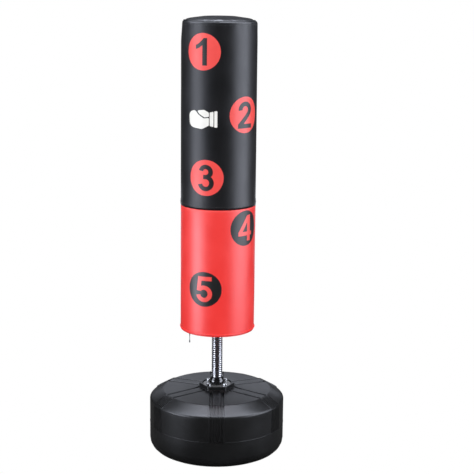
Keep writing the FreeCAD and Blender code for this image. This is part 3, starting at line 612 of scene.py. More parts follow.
# ---------------------------------------------------------------- ballast tank
@dataclass
class Tank:
    """The blow-moulded ballast tank with its ribs, hub and filler well."""

    box: Span = field(default_factory=lambda: Span.of("base_tank"))
    wall_radius: float = 277 * MM
    foot_rounding: float = 62 * MM
    parting: float = 116 * MM
    wall_top: float = 220 * MM
    shoulder_radius: float = 221 * MM
    shoulder_top: float = 252.5 * MM
    crown: float = 262 * MM
    hub_flat: float = 64 * MM
    recess_radius: float = 60 * MM
    recess_floor: float = 269 * MM
    rib_angle: float = 60.0
    groove_offset: float = 22.5 * MM
    groove_half: float = 6.0 * MM
    groove_depth: float = 6.5 * MM
    band_half: float = 30 * MM
    band_proud: float = 0.9 * MM
    flute_proud: float = 2.3 * MM
    flute_pitch: float = 10.8 * MM
    flute_half: float = 2.6 * MM
    soft: float = 0.9 * MM
    steps: int = 180

    def build(self) -> None:
        """Build the shell, the filler well and their finish."""
        mesh = self.turned_shell()
        self.cut_feature_lines(mesh)
        self.press_relief(mesh)
        self.square_hub(mesh)
        bmesh.ops.recalc_face_normals(mesh, faces=mesh.faces)
        shell = Part("tank_shell", "base", "tank_plastic", ("base_tank",)).make(mesh, TANK.material(), 28)
        self.open_filler(shell)
        self.filler_well()

    def turned_shell(self) -> BMesh:
        """Turn the tank's outer section, from the floor to the floor of the hub's recess."""
        bead = 0.7 * MM
        section: list[Corner] = [
            (0, 0),
            (120 * MM, 0),
            (self.wall_radius, 0, self.foot_rounding),
            (self.wall_radius, 100 * MM),
            (self.wall_radius, self.parting - 1.6 * MM),
            (self.wall_radius + bead, self.parting - 0.9 * MM),
            (self.wall_radius + bead, self.parting),
            (self.wall_radius, self.parting + 0.7 * MM),
            (self.wall_radius, self.parting + 1.8 * MM),
            (self.wall_radius, self.parting + 3.4 * MM),
        ]
        section += [(self.wall_radius, self.parting + k * 14 * MM) for k in range(1, 7)]
        section += [
            (self.wall_radius, self.wall_top, 11 * MM),
            (Filler.radius, Filler.height),
            (self.shoulder_radius + 9 * MM, self.shoulder_top - 5.2 * MM),
            (self.shoulder_radius, self.shoulder_top, 7 * MM),
        ]
        slope = (self.crown - self.shoulder_top) / (self.shoulder_radius - self.recess_radius)
        for radius in (213, 206, 190, 170, 150, 130, 110, 98, 90, 80, 72):
            drop = (self.shoulder_radius - radius * MM) * slope
            section.append((radius * MM, self.shoulder_top + drop))
        hub_top = self.box.top
        section += [
            (self.hub_flat + 2.5 * MM, self.crown - 0.2 * MM),
            (self.hub_flat, self.crown + 1.5 * MM, 1.2 * MM),
            (self.hub_flat, hub_top, 1.8 * MM),
            (self.recess_radius, hub_top, 1.2 * MM),
            (self.recess_radius, self.recess_floor, 0.8 * MM),
            (30 * MM, self.recess_floor),
            (0, self.recess_floor),
        ]
        return spin_outline(section, self.steps, closed=False, arc=5)

    def feature_offsets(self) -> tuple[list[float], list[float]]:
        """Return the sideways places of the top grooves' edges and of the flutes' edges."""
        grooves, flutes = [], []
        for side in (-1, 1):
            for edge in (-self.groove_half - self.soft, -self.groove_half + self.soft,
                         self.groove_half - self.soft, self.groove_half + self.soft):
                grooves.append(side * self.groove_offset + edge)
            flutes += [side * (self.band_half - self.soft), side * (self.band_half + self.soft)]
        for k in range(6):
            middle = (k - 2.5) * self.flute_pitch
            for edge in (-self.flute_half - self.soft, -self.flute_half + self.soft * 0.6,
                         self.flute_half - self.soft * 0.6, self.flute_half + self.soft):
                flutes.append(middle + edge)
        return grooves, flutes

    def cut_feature_lines(self, mesh: BMesh) -> None:
        """Cut the skin along each rib so that the relief has crisp, straight edges."""
        grooves, flutes = self.feature_offsets()
        reach = self.band_half + 6 * MM
        for k in range(3):
            along = direction(FRONT + k * self.rib_angle)
            across = Vector((-along.y, along.x, 0))
            for offsets, upper in ((grooves, True), (flutes, False)):
                for offset in offsets:
                    faces = [f for f in mesh.faces
                             if self.in_zone(f.calc_center_median(), across, reach, upper)]
                    edges = {e for f in faces for e in f.edges}
                    verts = {v for f in faces for v in f.verts}
                    bmesh.ops.bisect_plane(mesh, geom=[*verts, *edges, *faces], dist=1e-6,
                                           plane_co=across * offset, plane_no=across)

    def in_zone(self, place: Vector, across: Vector, reach: float, upper: bool) -> bool:
        """Say whether a face lies in a rib's strip, on the top face or on the shoulder and wall."""
        radius = place.xy.length
        if abs(place.dot(across)) > reach:
            return False
        if upper:
            return self.hub_flat + 1 * MM < radius < self.shoulder_radius + 2 * MM and place.z > self.wall_top
        return radius > self.shoulder_radius - 3 * MM and place.z > self.parting

    def press_relief(self, mesh: BMesh) -> None:
        """Move the skin in for the grooves and out for the fluted bands."""
        mesh.normal_update()
        moves = [(v, v.normal * self.relief(v.co)) for v in mesh.verts]
        for vert, move in moves:
            vert.co += move

    def relief(self, place: Vector) -> float:
        """Return how far the skin stands out at a place.

        Args:
            place: a point of the plain skin.

        Returns:
            The height of the relief, negative in a groove.
        """
        radius = place.xy.length
        if radius < self.hub_flat + 1 * MM or place.z < self.parting:
            return 0.0
        turn = (bearing_of(place) - FRONT) / self.rib_angle
        angle = math.radians((turn - round(turn)) * self.rib_angle)
        sideways = abs(radius * math.sin(angle))
        on_top = 1 - smooth_step(radius, self.shoulder_radius - 2 * MM, self.shoulder_radius + 2 * MM)
        off_hub = smooth_step(radius, self.hub_flat + 3 * MM, self.hub_flat + 9 * MM)
        groove = 1 - smooth_step(abs(sideways - self.groove_offset), self.groove_half - self.soft,
                                 self.groove_half + self.soft)
        height = -self.groove_depth * groove * on_top * off_hub
        above_ledge = smooth_step(place.z, self.parting + 1 * MM, self.parting + 3 * MM)
        beyond = smooth_step(radius, self.shoulder_radius, self.shoulder_radius + 7 * MM) * above_ledge
        band = 1 - smooth_step(sideways, self.band_half - self.soft, self.band_half + self.soft)
        nearest = (round(sideways / self.flute_pitch - 0.5) + 0.5) * self.flute_pitch
        ridge = 1 - smooth_step(abs(sideways - nearest), self.flute_half - self.soft * 0.6,
                                self.flute_half + self.soft)
        if nearest > 2.6 * self.flute_pitch:
            ridge = 0.0
        return height + beyond * (band * self.band_proud + ridge * self.flute_proud)

    def square_hub(self, mesh: BMesh) -> None:
        """Give the hub its six sides, with the flats across the ribs."""
        for vert in mesh.verts:
            radius = vert.co.xy.length
            outer = 1 - smooth_step(radius, self.hub_flat + 8 * MM, self.hub_flat + 34 * MM)
            inner = smooth_step(radius, self.recess_radius + 1.4 * MM, self.hub_flat - 1.5 * MM)
            share = outer * inner
            if share == 0 or vert.co.z < self.wall_top:
                continue
            turn = (bearing_of(vert.co) - FRONT) / 60
            angle = math.radians(abs(turn - round(turn)) * 60)
            reach = min(self.hub_flat / math.cos(angle), self.hub_flat * 1.135)
            vert.co.xy *= 1 + (reach - self.hub_flat) * share / radius

    def open_filler(self, shell: Object) -> None:
        """Cut the round opening of the filler well through the skin."""
        cutter_mesh = bmesh.new()
        add_rod(cutter_mesh, 28 * MM, 60 * MM, Filler().place, 64)
        cutter = Part("filler_cutter", "base", "tank_plastic").loose(cutter_mesh, TANK.material())
        cut = shell.modifiers.new("filler_opening", "BOOLEAN")
        cut.operation = "DIFFERENCE"
        cut.object = cutter
        cut.solver = "EXACT"
        bpy.context.view_layer.update()
        mesh = copy_of(shell)
        shell.modifiers.clear()
        mesh.to_mesh(shell.data)
        mesh.free()
        bpy.data.objects.remove(cutter)
        shell.data.shade_smooth()
        shell.data.set_sharp_from_angle(angle=math.radians(28))

    def filler_well(self) -> None:
        """Build the rim, wall and seat that the screw cap sits in."""
        mesh = spin_outline([
            (17.5 * MM, -26 * MM),
            (30.5 * MM, -26 * MM),
            (30.5 * MM, 0.8 * MM, 1.2 * MM),
            (27 * MM, 0.8 * MM, 1 * MM),
            (27 * MM, -9.5 * MM, 0.8 * MM),
            (17.5 * MM, -9.5 * MM, 0.6 * MM),
        ], 64)
        bmesh.ops.transform(mesh, matrix=Filler().place, verts=mesh.verts)
        Part("filler_well", "base", "tank_plastic", ("base_tank",)).make(mesh, TANK.material())


@dataclass(frozen=True)
class Filler:
    """The frame of the filler on the rear shoulder."""

    bearing: float = FRONT + 150
    radius: float = 249 * MM
    height: float = 236.25 * MM
    lean: float = math.degrees(math.atan2(32.5, 56))

    @property
    def place(self) -> Matrix:
        """Return the matrix that takes a piece made about Z at the origin to the filler."""
        lift = Matrix.Translation(direction(self.bearing) * self.radius + Vector((0, 0, self.height)))
        turn = Matrix.Rotation(math.radians(self.bearing), 4, "Z")
        return lift @ turn @ Matrix.Rotation(math.radians(self.lean), 4, "Y")


# ---------------------------------------------------------------- anchor and neck
@dataclass
class Anchor:
    """The ball cover, bolts and washers at the foot of the spring."""

    plate: Span = field(default_factory=lambda: Span.of("anchor_plate"))
    lower: Span = field(default_factory=lambda: Span.of("ball_cover_lower"))
    upper: Span = field(default_factory=lambda: Span.of("ball_cover_upper"))
    bolt_radius: float = 48 * MM
    head_radius: float = 9.8 * MM
    head_height: float = 6.4 * MM
    washer_radius: float = 10 * MM
    washer_height: float = 2 * MM
    wall: float = 2.5 * MM
    mouth: float = 23 * MM
    ball_centre: float = 283 * MM
    half_gap: float = 0.6 * MM

    def build(self) -> None:
        """Build the ball and the four bolts with their washers."""
        parting = self.ball_centre
        self.ball_half("ball_lower_half", "ball_cover_lower", self.lower.bottom, parting - self.half_gap)
        self.ball_half("ball_upper_half", "ball_cover_upper", parting + self.half_gap, self.upper.top)
        self.bolts()

    def ball_half(self, name: str, node: str, bottom: float, top: float) -> None:
        """Turn one half of the ball between two heights.

        Args:
            name: the piece's name.
            node: the CAD node that it stands for.
            bottom: lowest height.
            top: highest height.
        """
        radius, centre = self.lower.radius, self.ball_centre
        upper = bottom > centre
        lowest = math.asin(max(-1, (bottom - centre) / radius))
        highest = math.acos(self.mouth / radius) if upper else math.asin((top - centre) / radius)
        steps = 14
        angles = [lowest + (highest - lowest) * k / steps for k in range(steps + 1)]
        outside = [(radius * math.cos(a), centre + radius * math.sin(a)) for a in angles]
        thin = radius - self.wall
        inside = [(thin * math.cos(a), centre + thin * math.sin(a)) for a in reversed(angles)]
        if upper:
            lip = outside[-1][1]
            outside += [(self.mouth + 1.6 * MM, lip + 0.4 * MM), (self.mouth + 1.6 * MM, top, 0.6 * MM)]
            inside = [(self.mouth, top, 0.5 * MM), (self.mouth, lip - 1 * MM)] + inside[2:]
        mesh = spin_outline(outside + inside, 80, arc=3)
        Part(name, "base", "gloss_ball", (node,)).make(mesh, BALL.material(), 40)

    def bolts(self) -> None:
        """Build the hexagon heads with chamfered corners, and the washers under them."""
        heads, washers = bmesh.new(), bmesh.new()
        floor = self.plate.top
        seat = floor + self.washer_height
        for k in range(4):
            spot = direction(45 + 90 * k) * self.bolt_radius
            turn = Matrix.Rotation(math.radians(17 + 31 * k), 4, "Z")
            self.hexagon_head(heads, Matrix.Translation(spot + Vector((0, 0, seat))) @ turn)
            add_rod(heads, 4.9 * MM, 21 * MM, Matrix.Translation(spot + Vector((0, 0, seat - 10.5 * MM))), 20)
            ring = spin_outline([
                (5.4 * MM, 0), (self.washer_radius, 0),
                (self.washer_radius, self.washer_height, 0.6 * MM), (5.4 * MM, self.washer_height, 0.4 * MM),
            ], 40, arc=2)
            lift = Matrix.Translation(spot + Vector((0, 0, floor)))
            bmesh.ops.transform(ring, matrix=lift, verts=ring.verts)
            join_into(washers, ring)
        Part("anchor_bolt_heads", "base", "zinc_steel", ("anchor_bolts",)).make(heads, ZINC.material(), 25)
        Part("anchor_bolt_washers", "base", "zinc_steel", ("anchor_washers",)).make(washers, ZINC.material())

    def hexagon_head(self, mesh: BMesh, place: Matrix) -> None:
        """Add a hexagon head with a round chamfer on its upper corners."""
        head = bmesh.new()
        bmesh.ops.create_cone(head, cap_ends=True, cap_tris=False, segments=6, radius1=self.head_radius,
                              radius2=self.head_radius, depth=self.head_height,
                              matrix=Matrix.Translation((0, 0, self.head_height / 2)))
        bevel_edges(head, 0.5 * MM, 50, 2)
        top = [f for f in head.faces if f.normal.z > 0.99]
        bmesh.ops.inset_region(head, faces=top, thickness=1.4 * MM, depth=0.0, use_even_offset=True)
        face = [f for f in head.faces if f.normal.z > 0.99 and len(f.edges) > 5][-1:]
        bmesh.ops.translate(head, verts=[v for f in face for v in f.verts], vec=(0, 0, 0.5 * MM))
        bmesh.ops.transform(head, matrix=place, verts=head.verts)
        join_into(mesh, head)


def join_into(target: BMesh, source: BMesh) -> None:
    """Copy a mesh into another, and free it."""
    held = bpy.data.meshes.new("held")
    source.to_mesh(held)
    source.free()
    target.from_mesh(held)
    bpy.data.meshes.remove(held)


@dataclass
class Neck:
    """The coil spring, wound in two halves that meet at a set height."""

    box: Span = field(default_factory=lambda: Span.of("neck_spring"))
    wire: float = 4 * MM
    pitch: float = 8.4 * MM
    sides: int = 14
    turn_steps: int = 36
    split: float = 411 * MM
    ease: float = 30 * MM

    def build(self) -> None:
        """Build both halves of the spring, split at a set height."""
        joints = {j["name"]: j for j in frame["joints"]}
        low, high = joints["neck_bend_side"], joints["neck_bend_fore"]
        start = self.box.bottom + self.wire
        turns_low = round((self.split - start) / self.pitch * self.turn_steps)
        middle = start + turns_low * self.pitch / self.turn_steps
        turns_high = round((self.box.top - self.wire - middle) / self.pitch * self.turn_steps)
        for name, height, steps, first, joint in (
            ("spring_lower_coils", start, turns_low, 0, low),
            ("spring_upper_coils", middle, turns_high, turns_low, high),
        ):
            part = Part(name, "neck", "spring_chrome", ("neck_spring",))
            piece = part.loose(self.coils(height, steps, first), CHROME.material(), 60)
            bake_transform(piece)
            part.label(piece)

    def coils(self, height: float, steps: int, first: int) -> BMesh:
        """Wind wire from a height, in steps counted from the foot of the spring.

        Args:
            height: height of the wire's centre where it starts.
            steps: number of steps to wind.
            first: steps already wound below.

        Returns:
            A closed length of coiled wire.
        """
        mesh = bmesh.new()
        mean = self.box.radius - self.wire
        upright = Matrix.Translation((mean, 0, height)) @ Matrix.Rotation(math.pi / 2, 4, "X")
        around = Matrix.Rotation(math.tau * first / self.turn_steps, 4, "Z")
        bmesh.ops.create_circle(mesh, cap_ends=False, segments=self.sides, radius=self.wire,
                                matrix=around @ upright)
        bmesh.ops.spin(mesh, geom=[*mesh.verts, *mesh.edges], cent=(0, 0, 0), axis=(0, 0, 1),
                       dvec=(0, 0, self.pitch / self.turn_steps), angle=math.tau * steps / self.turn_steps,
                       steps=steps, use_merge=False)
        ends = [e for e in mesh.edges if e.is_boundary]
        bmesh.ops.holes_fill(mesh, edges=ends, sides=self.sides)
        bmesh.ops.recalc_face_normals(mesh, faces=mesh.faces)
        return mesh


# ---------------------------------------------------------------- soft cover
@dataclass
class Puff:
    """A short cloth simulation that lets air or foam press a sewn skin outwards."""

    pressure: float = 4.0
    frames: int = 20
    slack: float = 0.0
    cap: float = 3 * MM
    stiffness: float = 15.0

    def run(self, piece: Object, held: Callable[[Vector], bool]) -> None:
        """Simulate, cap how far each point moves, and keep the result in the mesh.

        Args:
            piece: a closed skin, changed in place.
            held: says whether a point is sewn down.
        """
        scene = bpy.context.scene
        rest = [v.co.copy() for v in piece.data.vertices]
        pins = piece.vertex_groups.new(name="sewn")
        pins.add([i for i, place in enumerate(rest) if held(place)], 1.0, "REPLACE")
        cloth = piece.modifiers.new("puff", "CLOTH")
        cloth.settings.vertex_group_mass = "sewn"
        cloth.settings.use_pressure = True
        cloth.settings.uniform_pressure_force = self.pressure
        cloth.settings.quality = 6
        cloth.settings.tension_stiffness = self.stiffness
        cloth.settings.compression_stiffness = self.stiffness
        cloth.settings.shear_stiffness = 5.0
        cloth.settings.bending_stiffness = 0.6
        cloth.settings.shrink_min = -self.slack
        cloth.settings.shrink_max = -self.slack
        cloth.settings.effector_weights.gravity = 0.0
        cloth.collision_settings.use_collision = False
        cloth.point_cache.frame_start, cloth.point_cache.frame_end = 1, self.frames
        for step in range(1, self.frames + 1):
            scene.frame_set(step)
        moved = copy_of(piece)
        moved.verts.ensure_lookup_table()
        places = [v.co.copy() for v in moved.verts]
        moved.free()
        piece.modifiers.remove(cloth)
        piece.vertex_groups.clear()
        scene.frame_set(1)
        for vert, start, end in zip(piece.data.vertices, rest, places):
            shift = end - start
            if shift.length > self.cap:
                shift *= self.cap / shift.length
            vert.co = start + shift
        piece.data.update()


@dataclass
class Cover:
    """The sewn cover: two sleeves, a domed end panel, a bottom panel, welts and stitching."""

    black: Span = field(default_factory=lambda: Span.of("cover_upper"))
    red: Span = field(default_factory=lambda: Span.of("cover_lower"))
    dome: Span = field(default_factory=lambda: Span.of("cover_top"))
    welt: Span = field(default_factory=lambda: Span.of("top_piping"))
    low_welt: Span = field(default_factory=lambda: Span.of("bottom_piping"))
    floor_panel: Span = field(default_factory=lambda: Span.of("cover_bottom"))
    binding: Span = field(default_factory=lambda: Span.of("hole_binding"))
    radius: float = BAG_RADIUS
    rim_rounding: float = 8 * MM
    shoulder: float = 13 * MM
    taper: float = 2.6 * MM
    lip_radius: float = 139.5 * MM
    seam_radius: float = 141 * MM
    hem_height: float = 16 * MM
    hem_proud: float = 1.2 * MM
    thickness: float = 1.6 * MM
    segments: int = 180
    row: float = 9 * MM

    def build(self) -> BVHTree:
        """Build the whole cover.

        Returns:
            A search tree of the outer skin, for what lies on it.
        """
        skin = self.sewn_skin()
        self.settle(skin)
        tree = BVHTree.FromObject(skin, bpy.context.evaluated_depsgraph_get())
        self.sleeve(skin, "black_sleeve", True)
        self.sleeve(skin, "red_sleeve", False)
        bpy.data.objects.remove(skin)
        self.end_panel()
        self.bottom_panel()
        self.welts()
        self.stitching(tree)
        return tree

    def sewn_skin(self) -> Object:
        """Turn both sleeves as one skin, from the zip's lip to the top seam, closed by two caps."""
        junction, top = self.black.bottom, self.black.top
        count = int((top - self.red.bottom) / self.row)
        section: list[Corner] = [
            (self.lip_radius - 5 * MM, self.red.bottom + 3 * MM),
            (self.lip_radius, self.red.bottom + 0.6 * MM),
            (self.radius - 0.6 * MM, self.red.bottom, self.rim_rounding + 1.5 * MM),
        ]
        heights = [self.red.bottom + 13 * MM + k * self.row for k in range(count)]
        heights = [z for z in heights if z < top - self.shoulder - 4 * MM and abs(z - junction) > 4 * MM]
        for height in sorted(heights + [junction]):
            section.append((self.radius, height))
        foot = (self.seam_radius, top - self.shoulder)
        roll = arc_points(foot, (self.radius - self.seam_radius, self.shoulder), 0, 90, 8)
        section += [(point.x, point.y) for point in roll]
        section.append((self.seam_radius - 4 * MM, top - 3 * MM))
        mesh = bmesh.new()
        verts = [mesh.verts.new((p.x, 0, p.y)) for p in rounded_outline(section, False, 7)]
        edges = [mesh.edges.new(pair) for pair in zip(verts, verts[1:])]
        bmesh.ops.spin(mesh, geom=verts + edges, cent=(0, 0, 0), axis=(0, 0, 1), dvec=(0, 0, 0),
                       angle=math.tau, steps=self.segments, use_merge=True)
        bmesh.ops.holes_fill(mesh, edges=[e for e in mesh.edges if e.is_boundary], sides=self.segments + 4)
        bmesh.ops.recalc_face_normals(mesh, faces=mesh.faces)
        return Part("bag_skin", "bag", "black_leatherette").loose(mesh, BLACK_COVER.material())

    def settle(self, skin: Object) -> None:
        """Let the foam fill the skin, then add the small unevenness of a sewn cover."""
        bottom, top, junction = self.red.bottom, self.black.top, self.black.bottom

        def held(place: Vector) -> bool:
            """Hold the seams: the zip's lip, the low welt, the junction and the top seam."""
            at_end = place.z < bottom + 2 * MM or place.z > top - 1 * MM
            return at_end or place.xy.length < self.radius - 6 * MM or abs(place.z - junction) < 2 * MM

        Puff(pressure=3.0, frames=18, slack=0.004, cap=1.3 * MM).run(skin, held)
        for vert in skin.data.vertices:
            place = vert.co
            if place.xy.length < self.radius - 7 * MM:
                continue
            outward = Vector((place.x, place.y, 0)).normalized()
            vert.co += outward * (self.unevenness(place) - self.drawn_in(place))
        skin.data.update()

    def drawn_in(self, place: Vector) -> float:
        """Return how far the top seam draws the skin in at a place, a little more on one side."""
        near_top = smooth_step(place.z, self.black.top - 85 * MM, self.black.top - 5 * MM)
        clear = min(1.0, max(0.0, (place.xy.length - self.seam_radius) / (self.radius - self.seam_radius)))
        side = 1.0 - 0.55 * place.x / self.radius
        return self.taper * near_top * clear * side

    def unevenness(self, place: Vector) -> float:
        """Return the small in and out of the skin at a place: slow waves and puckers at the seams."""
        turn = math.atan2(place.y, place.x)
        slow = noise.noise(Vector((place.x * 7, place.y * 7, place.z * 4.5 + 3)))
        fine = noise.noise(Vector((place.x * 22, place.y * 22, place.z * 13 + 9)))
        near_top = 1 - smooth_step(self.black.top - place.z, 0.0, 55 * MM)
        near_low = 1 - smooth_step(place.z - self.red.bottom, 0.0, 45 * MM)
        near_hem = 1 - smooth_step(abs(place.z - self.black.bottom), 0.0, 30 * MM)
        pucker = noise.noise(Vector((turn * 6.5, place.z * 9, 1.7)))
        return (slow * 0.55 + fine * 0.16 + pucker * (near_top * 0.9 + near_low * 0.5 + near_hem * 0.3)) * MM

    def sleeve(self, skin: Object, name: str, upper: bool) -> None:
        """Cut one sleeve from the settled skin, fold its hem and give it its thickness.

        Args:
            skin: the whole skin.
            name: the sleeve's name.
            upper: True for the black sleeve, False for the red one.
        """
        mesh = bmesh.new()
        mesh.from_mesh(skin.data)
        junction = self.black.bottom
        drop = []
        for face in mesh.faces:
            height = face.calc_center_median().z
            capped = len(face.verts) > 4
            if capped or (height < junction) == upper:
                drop.append(face)
        bmesh.ops.delete(mesh, geom=drop, context="FACES")
        for vert in mesh.verts:
            outward = Vector((vert.co.x, vert.co.y, 0)).normalized()
            if upper:
                lift = 1 - smooth_step(vert.co.z - junction, self.hem_height, self.hem_height + 6 * MM)
                vert.co += outward * self.hem_proud * lift
            elif vert.co.z > junction - 1 * MM:
                vert.co += Vector((0, 0, 3 * MM)) - outward * 0.3 * MM
        bmesh.ops.recalc_face_normals(mesh, faces=mesh.faces)
        finish = BLACK_COVER if upper else RED_COVER
        node = "cover_upper" if upper else "cover_lower"
        slot = "black_leatherette" if upper else "red_leatherette"
        part = Part(name, "bag", slot, (node,))
        piece = part.make(mesh, finish.material(), 60)
        wall = piece.modifiers.new("thickness", "SOLIDIFY")
        wall.thickness = self.thickness
        wall.offset = -1

    def end_panel(self) -> None:
        """Puff the round end panel inside the top seam, so that it domes and puckers."""
        edge = self.seam_radius - 1.2 * MM
        rise = self.dome.top - self.dome.bottom - 4 * MM
        mesh = spin_outline([
            (0, self.dome.bottom - 9 * MM),
            (edge - 4 * MM, self.dome.bottom - 8 * MM, 3 * MM),
            (edge, self.dome.bottom + 1 * MM, 3 * MM),
            (edge - 22 * MM, self.dome.bottom + rise * 0.42, 30 * MM),
            (edge - 80 * MM, self.dome.bottom + rise * 0.9, 60 * MM),
            (0, self.dome.bottom + rise),
        ], 72, closed=False)
        part = Part("end_panel", "bag", "black_leatherette", ("cover_top",))
        piece = part.loose(mesh, BLACK_COVER.material(), 60)
        remesh(piece, 5 * MM)

        def held(place: Vector) -> bool:
            """Hold the rim and the underside."""
            return place.xy.length > edge - 3.5 * MM or place.z < self.dome.bottom - 2 * MM

        Puff(pressure=4.0, frames=20, slack=0.035, cap=5 * MM, stiffness=12.0).run(piece, held)
        smooth = piece.modifiers.new("smooth", "SUBSURF")
        smooth.levels = smooth.render_levels = 1
        part.fasten(piece)

    def bottom_panel(self) -> None:
        """Build the flat red panel under the bag and the binding round the spring's hole."""
        bottom, top = self.floor_panel.bottom, self.floor_panel.top
        mesh = spin_outline([
            (27 * MM, bottom), (80 * MM, bottom - 0.6 * MM), (self.floor_panel.radius - 1 * MM, bottom),
            (self.floor_panel.radius, bottom + 0.9 * MM, 0.6 * MM), (80 * MM, top - 0.6 * MM), (27 * MM, top),
        ], 144, arc=3)
        bmesh.ops.subdivide_edges(mesh, edges=[e for e in mesh.edges if e.calc_length() > 30 * MM], cuts=6,
                                  use_grid_fill=True)
        for vert in mesh.verts:
            wave = noise.noise(vert.co * 24) * 0.5 * MM
            vert.co.z += wave * smooth_step(vert.co.xy.length, 30 * MM, 60 * MM) * (
                1 - smooth_step(vert.co.xy.length, 110 * MM, 130 * MM))
        panel = Part("underside_panel", "bag", "red_leatherette", ("cover_bottom",))
        piece = panel.make(mesh, RED_COVER.material())
        middle, reach = self.binding.centre.z, self.binding.radius
        half = (self.binding.top - self.binding.bottom) / 2
        ring = spin_outline([
            (26 * MM, middle - half, 1.5 * MM), (reach, middle - half, 1.4 * MM),
            (reach, middle + half, 1.4 * MM), (26 * MM, middle + half, 1.5 * MM),
        ], 96, arc=4)
        edging = Part("hole_edge_binding", "bag", "black_leatherette", ("hole_binding",))
        edging.make(ring, BLACK_COVER.material())

    def welts(self) -> None:
        """Build the corded welts of the top seam and above the lower rim."""
        for name, span, finish, slot, node in (
            ("top_welt", self.welt, BLACK_COVER, "black_leatherette", "top_piping"),
            ("lower_welt", self.low_welt, RED_COVER, "red_leatherette", "bottom_piping"),
        ):
            cord = (span.top - span.bottom) / 2
            mesh = bmesh.new()
            place = Matrix.Translation((span.radius - cord, 0, span.centre.z))
            ring = place @ Matrix.Rotation(math.pi / 2, 4, "X")
            bmesh.ops.create_circle(mesh, cap_ends=False, segments=12, radius=cord, matrix=ring)
            full_turn(mesh, 200)
            for vert in mesh.verts:
                vert.co.z += noise.noise(vert.co * 16) * 0.4 * MM
            Part(name, "bag", slot, (node,)).make(mesh, finish.material(), 80)

    def stitching(self, tree: BVHTree) -> None:
        """Sew every seam that shows with rows of single stitches."""
        junction = self.black.bottom
        rings = (
            ("hem_stitches", junction + self.hem_height - 4 * MM, self.hem_proud, True),
            ("rim_stitches", self.black.top - 13 * MM, 0.0, True),
            ("lower_rim_stitches", self.red.bottom + 17 * MM, 0.0, False),
        )
        for name, height, proud, black in rings:
            Seam(name, black).ring(tree, height, proud)
        back = FRONT + 180
        for name, low, high, black in (
            ("black_back_seam", junction + self.hem_height + 6 * MM, self.black.top - 14 * MM, True),
            ("red_back_seam", self.red.bottom + 20 * MM, junction - 3 * MM, False),
        ):
            Seam(name, black).upright(tree, back, low, high)


@dataclass(frozen=True)
class Seam:
    """A row of stitches in black or red thread."""

    name: str
    black: bool
    length: float = 4.2 * MM
    gap: float = 1.6 * MM
    thread: float = 0.45 * MM
    apart: float = 5 * MM

    def ring(self, tree: BVHTree, height: float, proud: float) -> None:
        """Sew a level row round the bag.

        Args:
            tree: search tree of the skin.
            height: height of the row.
            proud: how far the cloth under the row stands out from the skin.
        """
        count = int(math.tau * BAG_RADIUS / (self.length + self.gap))
        mesh = bmesh.new()
        for k in range(count):
            bearing = 360 * k / count
            spot = on_skin(tree, bearing, height, proud + 0.15 * MM)
            self.stitch(mesh, spot, Matrix.Rotation(math.radians(bearing + 90), 4, "Z"))
        self.finish(mesh)

    def upright(self, tree: BVHTree, bearing: float, low: float, high: float) -> None:
        """Sew a pair of upright rows beside a seam."""
        mesh = bmesh.new()
        count = int((high - low) / (self.length + self.gap))
        for side in (-1, 1):
            at = bearing + side * math.degrees(self.apart / BAG_RADIUS)
            turn = Matrix.Rotation(math.radians(at), 4, "Z") @ Matrix.Rotation(math.pi / 2, 4, "Y")
            for k in range(count):
                spot = on_skin(tree, at, low + k * (self.length + self.gap), 0.15 * MM)
                self.stitch(mesh, spot, turn)
        self.finish(mesh)

    def stitch(self, mesh: BMesh, spot: Vector, turn: Matrix) -> None:
        """Add one stitch, a small spindle of thread along the turned X axis."""
        shape = Matrix.Diagonal((self.length / 2, self.thread, self.thread, 1.0))
        place = Matrix.Translation(spot) @ turn @ shape @ Matrix.Rotation(math.pi / 2, 4, "Y")
        bmesh.ops.create_uvsphere(mesh, u_segments=6, v_segments=5, radius=1.0, matrix=place)

    def finish(self, mesh: BMesh) -> None:
        """Make the row an object in its thread."""
        thread, slot = (BLACK_THREAD, "black_leatherette") if self.black else (RED_THREAD, "red_leatherette")
        Part(self.name, "bag", slot).make(mesh, thread.material(), 80)


def on_skin(tree: BVHTree, bearing: float, height: float, proud: float) -> Vector:
    """Return the point of the skin at a bearing and height, moved out a little.

    Args:
        tree: search tree of the skin.
        bearing: degrees from +X.
        height: height above the floor.
        proud: distance outside the skin.

    Returns:
        The point.
    """
    outward = direction(bearing)
    level = Vector((0, 0, height))
    hit = tree.ray_cast(outward * (2 * BAG_RADIUS) + level, -outward)[0]
    return (hit if hit is not None else outward * BAG_RADIUS + level) + outward * proud


def remesh(piece: Object, voxel: float) -> None:
    """Give a piece an even mesh of square cells."""
    even = piece.modifiers.new("even", "REMESH")
    even.mode = "VOXEL"
    even.voxel_size = voxel
    mesh = copy_of(piece)
    piece.modifiers.clear()
    mesh.to_mesh(piece.data)
    mesh.free()
    piece.data.shade_smooth()


# ---------------------------------------------------------------- printed targets
def arc_points(centre: Corner, radii: Corner, start: float, end: float, steps: int = 22) -> list[Vector]:
    """Return points along an elliptical arc, in millimetres.

    Args:
        centre: the ellipse's centre.
        radii: its two radii.
        start: first angle in degrees.
        end: last angle, smaller than start to run clockwise.
        steps: segments of the arc.

    Returns:
        The points, first and last included.
    """
    points = []
    for k in range(steps + 1):
        angle = math.radians(start + (end - start) * k / steps)
        across, up = radii[0] * math.cos(angle), radii[1] * math.sin(angle)
        points.append(Vector((centre[0] + across, centre[1] + up, 0)))
    return points


def flat_points(*corners: Corner) -> list[Vector]:
    """Return corners as points, in millimetres."""
    return [Vector((x, y, 0)) for x, y in corners]


